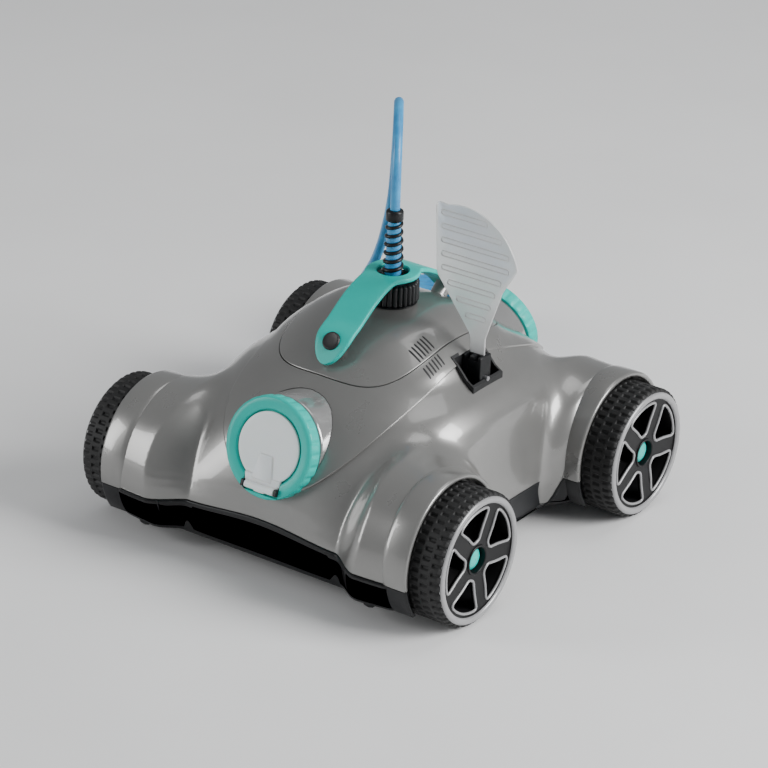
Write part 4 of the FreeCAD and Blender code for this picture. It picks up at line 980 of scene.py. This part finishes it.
def add_wheel(corner, side, end):
    body = "wheel_" + corner
    centre = np.array([0, end * AXLE_Y, AXLE_Z])
    mirror = np.array([side, 1.0, 1.0])

    def placed(form):
        points, faces = form
        return np.asarray(points) * mirror + centre, faces

    def add(name, form, material):
        return add_piece(name + "_" + corner, placed(form), material, body)

    finish_piece(add("tyre_tread", tyre_form(), "tyre"), 30, "tyre_" + corner)
    disc = add("rim_disc", wheel_lathe(rim_form()), "rim")
    lips = []
    for step in range(WINDOWS):
        outline = window_outline(2 * math.pi * step / WINDOWS + math.pi / 2 + 0.18 * side)
        window = prism_form(outline, WHEEL_OUT - 14, WHEEL_OUT + 2, lambda rows: rows[:, [2, 0, 1]])
        carve(disc, *placed(window))
        radius = np.hypot(outline[:, 0], outline[:, 1])
        lips.append(swept(np.column_stack([WHEEL_OUT - dish(radius) + 0.1, outline]), 1.15, 8, closed=True))
    finish_piece(disc, 35, "rim_" + corner)
    # the window frames are light grey as painted reflection
    add("rim_lips", merged(lips), "lip")
    for name, (material, steps, profile) in TURNED.items():
        finish_piece(add(name, wheel_lathe(profile, steps), material), 40)
    finish_piece(add("cap_dome", wheel_lathe(CAP_PROFILE, 64), "hub"), 50, "hub_cap_" + corner)


def arch_form(side, end, start, stop):
    """A length of the lip over a tyre's inner edge, between two turns round the axle in degrees."""
    angles = np.radians(np.linspace(start, stop, 2 + int(abs(stop - start) / 1.7)))
    edge = ARCH_EDGE + 0.6
    profile = [(126.0, LIP_RADIUS - 3.2), (127.5, LIP_RADIUS - 1.0), (129.5, LIP_RADIUS - 0.3),
               (132, LIP_RADIUS), (edge - 2.4, LIP_RADIUS), (edge - 1.0, LIP_RADIUS - 0.35),
               (edge - 0.2, LIP_RADIUS - 1.2), (edge, LIP_RADIUS - 2.2), (edge - 0.3, LIP_RADIUS - 3.6),
               (edge - 1.2, LIP_RADIUS - 4.3), (133.0, LIP_RADIUS - 4.3), (126.0, LIP_RADIUS - 4.3)]
    c, s = np.cos(angles), np.sin(angles)
    points, faces = bar_form([np.column_stack([np.full(len(angles), x), r * c, r * s]) for x, r in profile])
    return points * np.array([side, 1, 1]) + np.array([0, end * AXLE_Y, AXLE_Z]), faces


def add_arch(corner, side, end):
    """The lip of a wheel arch: the shell's above the parting, the base's below it."""
    low = -10.4
    lip = arch_form(side, end, low, 180 - low)
    finish_piece(add_piece("arch_lip_" + corner, lip, "shell", "hull"), 50)
    feet = [arch_form(side, end, -36, low - 0.7), arch_form(side, end, 180.7 - low, 216)]
    finish_piece(add_piece("arch_foot_" + corner, merged(feet), "base", "hull"), 50)


# ---- handle and cable gland ----
FOOT_Y, FOOT_Z, TOP_Z = 80.0, 175.6, 210.0
HANDLE_TIP = 91.0
HANDLE_RISE = [(-11.0, -16.0), (0.0, 0.0), (18.0, 12.4), (39.0, 25.9), (58.0, 33.4)]


def strap_section(half, thick, edge):
    """Points (across, height) round a strap's section, its corners rounded."""
    edge = min(edge, half * 0.45)
    flat = half - edge
    turns = np.linspace(0.35, math.pi / 2 - 0.35, 3)
    s, c = edge * np.sin(turns), edge * np.cos(turns)
    top, side = np.linspace(-flat, flat, 15), np.array([-edge, edge - thick])
    across = [top, flat + s, [half, half], flat + c, top[::-1], -flat - s, [-half, -half], -flat - c]
    height = [0 * top, c - edge, side, edge - thick - s, 0 * top - thick, edge - thick - c, side[::-1], s - edge]
    return np.concatenate(across), np.concatenate(height)


def add_handle():
    """A strap arched over the lid, wider round the eye for the cable."""
    ys = [a - FOOT_Y for a, _ in HANDLE_RISE]
    zs = [FOOT_Z + u for _, u in HANDLE_RISE]
    height = smooth_curve(ys + [0.0] + [-y for y in ys[::-1]], zs + [TOP_Z] + zs[::-1])
    ends = HANDLE_TIP - 14 * (1 - np.cos(np.linspace(0.02, 1.5, 16)))
    y = np.unique(np.concatenate([np.linspace(0.02 - HANDLE_TIP, HANDLE_TIP - 0.02, 150), -ends, ends]))
    near_end = HANDLE_TIP - np.abs(y)
    half = np.where(near_end < 16, np.sqrt(np.maximum(16.0 ** 2 - (16.0 - near_end) ** 2, 0.05)), 16.0)
    eye = np.sqrt(np.maximum(22.0 ** 2 - (y - 2.0) ** 2, 0))
    soft = 5.0
    both = np.maximum(half, eye) + soft * np.maximum(0.25 - np.abs(half - eye) / soft / 4, 0) * (eye > 4)
    z = height(y)
    slope = np.gradient(z, y)
    steep = np.hypot(slope, 1)
    rows = []
    for at_y, at_z, lean_y, lean_z, wide in zip(y, z, -slope / steep, 1 / steep, both):
        across, up = strap_section(wide, 4.0, 1.3)
        rows.append(np.column_stack([across, at_y + lean_y * up, at_z + lean_z * up]))
    form = np.concatenate(rows), loop_faces(len(rows), len(rows[0]), "capped")
    strap = add_piece("handle_strap", form, "teal", "hull")
    hole = [(190, 0.2), (190, 14.0), (TOP_Z - 4.2, 13.4), (TOP_Z - 3.4, 13.0), (TOP_Z - 0.9, 13.0),
            (TOP_Z - 0.1, 13.7), (TOP_Z + 4, 18), (TOP_Z + 4, 0.2)]
    carve(strap, *lathe(hole, "Z", (0, 2.0, 0), 72))
    finish_piece(strap, 35, "handle")
    profile = [(-3, 7.7), (0.5, 7.7), (1.3, 7.2), (1.7, 6.4), (1.5, 5.8), (1.3, 3.0), (1.3, 0.2)]
    points, faces = lathe(profile, "Z", (0, 0, 0), 48, "capped")
    lean = math.radians(50)
    caps = []
    for end in (-1, 1):
        out = np.array([0, end * math.sin(lean), math.cos(lean)])
        axes = np.array([[1.0, 0, 0], np.cross(out, [1.0, 0, 0]), out])
        caps.append((points @ axes + np.array([0, end * FOOT_Y, FOOT_Z]), faces))
    finish_piece(add_piece("handle_caps", merged(caps), "trim", "hull"), 40, "handle_bolts")


def add_gland():
    def ribs(angles, _, radius):
        return -1.7 * (1 - np.abs(np.cos(15 * angles)) ** 0.7) if radius > 19 else 0

    low, high = 185.0, 203.0
    profile = [(low, 13.4), (low, 19.4), (low + 0.5, 21.0), (low + 1.4, 22.0), (low + 6, 22.0),
               (low + 12, 22.0), (high - 2.2, 22.0), (high - 1.0, 21.2), (high - 0.3, 19.8), (high, 18.0),
               (high, 11.2), (high - 3, 10.6), (high - 3, 13.4)]
    form = lathe(profile, "Z", (0, 2.0, 0), 360, "joined", ribs)
    finish_piece(add_piece("gland_ring", form, "base", "gland_nut"), 40, "gland_nut")


SPIRAL_TURNS = 6.4


def add_strain_relief():
    """A black spiral over the cable, between a plug in the gland and a collar."""
    y = 2.0
    foot = [(176, 0.3), (176, 9.5), (204.6, 9.5), (205.6, 9.1), (206.4, 8.2), (206.8, 6.8), (207, 4.6),
            (207, 0.3)]
    head = [(252.2, 0.3), (252.2, 5.2), (252.8, 6.6), (253.8, 7.2), (260.2, 7.2), (261.2, 6.8),
            (261.9, 5.8), (262.0, 4.3), (261.4, 4.12), (258, 4.1), (258, 0.3)]
    parts = [lathe(p, "Z", (0, y, 0), 64) for p in (foot, head)]
    t = np.linspace(0, 1, 360)
    radius = 7.2 - 1.5 * t
    angle = 2 * math.pi * SPIRAL_TURNS * t + 0.6
    path = np.column_stack([radius * np.cos(angle), y + radius * np.sin(angle), 206.5 + 46.5 * t])
    parts.append(swept(path, 1.75 - 0.3 * t, 12))
    finish_piece(add_piece("relief_spiral", merged(parts), "base", "hull"), 50, "strain_relief")
    core = [(203, 0.3), (203, 6.8), (210, 6.7), (230, 6.0), (250, 5.3), (254, 5.1), (254, 0.3)]
    add_piece("relief_core", lathe(core, "Z", (0, y, 0), 48), "cable", "hull")


# ---- fin ----
FIN_OUTLINE = [(-7.0, 12.0), (-7.0, 33.0), (-42.0, 78.0), (-45.2, 138.9), (-34.0, 137.9)]
FIN_FRONT = [(34.0, 99.0), (21.0, 76.0), (7.0, 33.0), (7.0, 12.0)]
FIN_BEND = (12.0, 130.6)


def fin_outline():
    """The blade's outline round the pivot, its curved edge an arc through three points."""
    a, b, c = np.array(FIN_OUTLINE[-1]), np.array(FIN_BEND), np.array(FIN_FRONT[0])
    m = np.array([b - a, c - a]) * 2
    centre = np.linalg.solve(m, np.array([b @ b - a @ a, c @ c - a @ a]))
    start = math.atan2(*(a - centre)[::-1])
    stop = math.atan2(*(c - centre)[::-1])
    radius = np.linalg.norm(a - centre)
    arc = [centre + radius * np.array([math.cos(t), math.sin(t)]) for t in np.linspace(start, stop, 30)]
    corners = FIN_OUTLINE[:-1] + [tuple(p) for p in arc] + FIN_FRONT[1:]
    radii = [1, 14, 12, 7.5, 40] + [30] * 28 + [6, 14, 10, 1]
    return rounded_polygon(corners, radii, 5)


def width_at(outline, height):
    """The outline's extent across at a height."""
    xs = []
    for a, b in zip(outline, np.roll(outline, -1, 0)):
        if (a[1] - height) * (b[1] - height) < 0:
            xs.append(a[0] + (b[0] - a[0]) * (height - a[1]) / (b[1] - a[1]))
    return min(xs), max(xs)


def add_fin():
    outline = fin_outline()

    def place(rows):
        return np.column_stack([FIN_AT[0] + rows[:, 0], rows[:, 2], FIN_AT[2] + rows[:, 1]])

    layers = [(-0.9, 0.6), (-0.65, 0.15), (-0.3, 0), (0.3, 0), (0.65, 0.15), (0.9, 0.6)]
    parts = [pillow_form(outline, layers, place)]
    for step in range(8):
        z = 47.0 + 11.6 * step
        low, high = width_at(outline, z)
        low2, high2 = width_at(outline, z + 4.2)
        low, high = max(low, low2) + 5.0, min(high, high2) - 5.0
        if high - low < 8:
            continue
        stadium = rounded_polygon([(low, z), (high, z), (high, z + 4.2), (low, z + 4.2)], 2.0, 6)
        for side in (-1, 1):
            path = place(np.column_stack([stadium, np.full(len(stadium), side * 0.95)]))
            parts.append(swept(path, 0.62, 8, closed=True))
    finish_piece(add_piece("fin_paddle", merged(parts), "clear", "fin"), 30, "fin_blade")
    x, z = FIN_AT[0], FIN_AT[2]
    root = rounded_polygon([(-7.4, -11), (7.4, -11), (8.6, -2), (8.6, 19), (-8.6, 19), (-8.6, -2)], 1.6, 5)

    layers = [(-7.5, 0.8), (-7.1, 0.2), (-6.4, 0), (6.4, 0), (7.1, 0.2), (7.5, 0.8)]
    block = add_piece("fin_stem", pillow_form(root, layers, place), "base", "fin")
    for low, high in ((-5.9, -1.9), (1.9, 5.9)):
        for y0, y1 in ((-8.5, -2.2), (2.2, 8.5)):
            carve(block, *block_form((x + low, y0, z + 15.4), (x + high, y1, z + 22)))
    for y0, y1 in ((-8.5, -6.2), (6.2, 8.5)):
        carve(block, *block_form((x - 4.5, y0, z - 6), (x + 4.5, y1, z + 12)))
    finish_piece(block, 30, "fin_root")


# ---- lid's louvres, latches ----
def add_louvres():
    """Two rows of narrow slots, one each side of the lid's seam."""
    slots = []
    slant = math.radians(-4)
    for centre_x, first_y, long in ((56.8, -45.5, 13.0), (71.3, -48.4, 8.6)):
        for step in range(6):
            along = np.linspace(-long / 2, long / 2, 20)
            half = 0.85 * np.sqrt(np.clip(1 - (np.abs(along) * 2 / long) ** 8, 0.03, 1))
            rows = []
            for across, rise in ((-1, -1.5), (-1, 0.10), (-0.5, 0.22), (0.5, 0.22), (1, 0.10), (1, -1.5)):
                x = centre_x + along * math.cos(slant) - across * half * math.sin(slant)
                y = first_y + 3.7 * step + along * math.sin(slant) + across * half * math.cos(slant)
                rows.append(np.column_stack([x, y, skin_at_plan(x, y) + rise]))
            slots.append(bar_form(rows))
    finish_piece(add_piece("louvre_slots", merged(slots), "trim", "hull"), 40)


def add_latch(corner, side, end):
    low, high = node_box("corner_latch_" + corner)
    face = low[1] if end < 0 else high[1]
    centre = (low[0] + high[0]) / 2
    outline = rounded_polygon([(-11, 19), (-6, 19), (-4.4, 15.6), (0, 14.6), (4.4, 15.6), (6, 19),
                               (11, 19), (11, 42.4), (-11, 42.4)], [3, 1, 2, 3, 2, 1, 3, 2, 2], 5)

    def place(rows):
        return np.column_stack([centre + rows[:, 0], face - end * rows[:, 2], rows[:, 1]])

    form = pillow_form(outline, [(0, 1.2), (0.3, 0.5), (1.0, 0), (3.2, 0)], place)
    plate = add_piece("latch_tab_" + corner, form, "base", "latch_" + corner)
    near, far = sorted((face, face - end * 0.7))
    for z in (26, 31, 36):
        carve(plate, *block_form((centre - 7, near, z), (centre + 7, far, z + 2)))
    finish_piece(plate, 30, "corner_latch_" + corner)


# ---- carried-over nodes ----
CARRIED = {"handle_feet": "shell", "base_shell": "base", "fin_pocket": "trim", "cable_socket": "base",
           "fin_pin": "steel", "axle": "steel", "motor_shaft": "steel", "motor": "motor", "propeller": "nylon",
           "filter_tray": "base", "filter_basket": "base", "filter_mesh": "cloth", "intake_flap": "seal",
           "plug_pins": "brass"}


def paint_carried():
    for name, obj in frame["nodes"].items():
        if name not in bpy.data.objects:
            continue
        starts = [key for key in CARRIED if name.startswith(key)]
        paint(obj, CARRIED[max(starts, key=len)] if starts else "base")


# ---- the scene ----
add_camera()
add_cable()
add_stage()
hull_skin()
for which, way in NOZZLES:
    add_nozzle(which, way)
    add_flap(which, way)
    add_tube(which, way)
for which, across, lengthways in WHEELS:
    add_wheel(which, across, lengthways)
    add_arch(which, across, lengthways)
    add_latch(which, across, lengthways)
add_handle()
add_gland()
add_strain_relief()
add_fin()
add_louvres()
paint_carried()
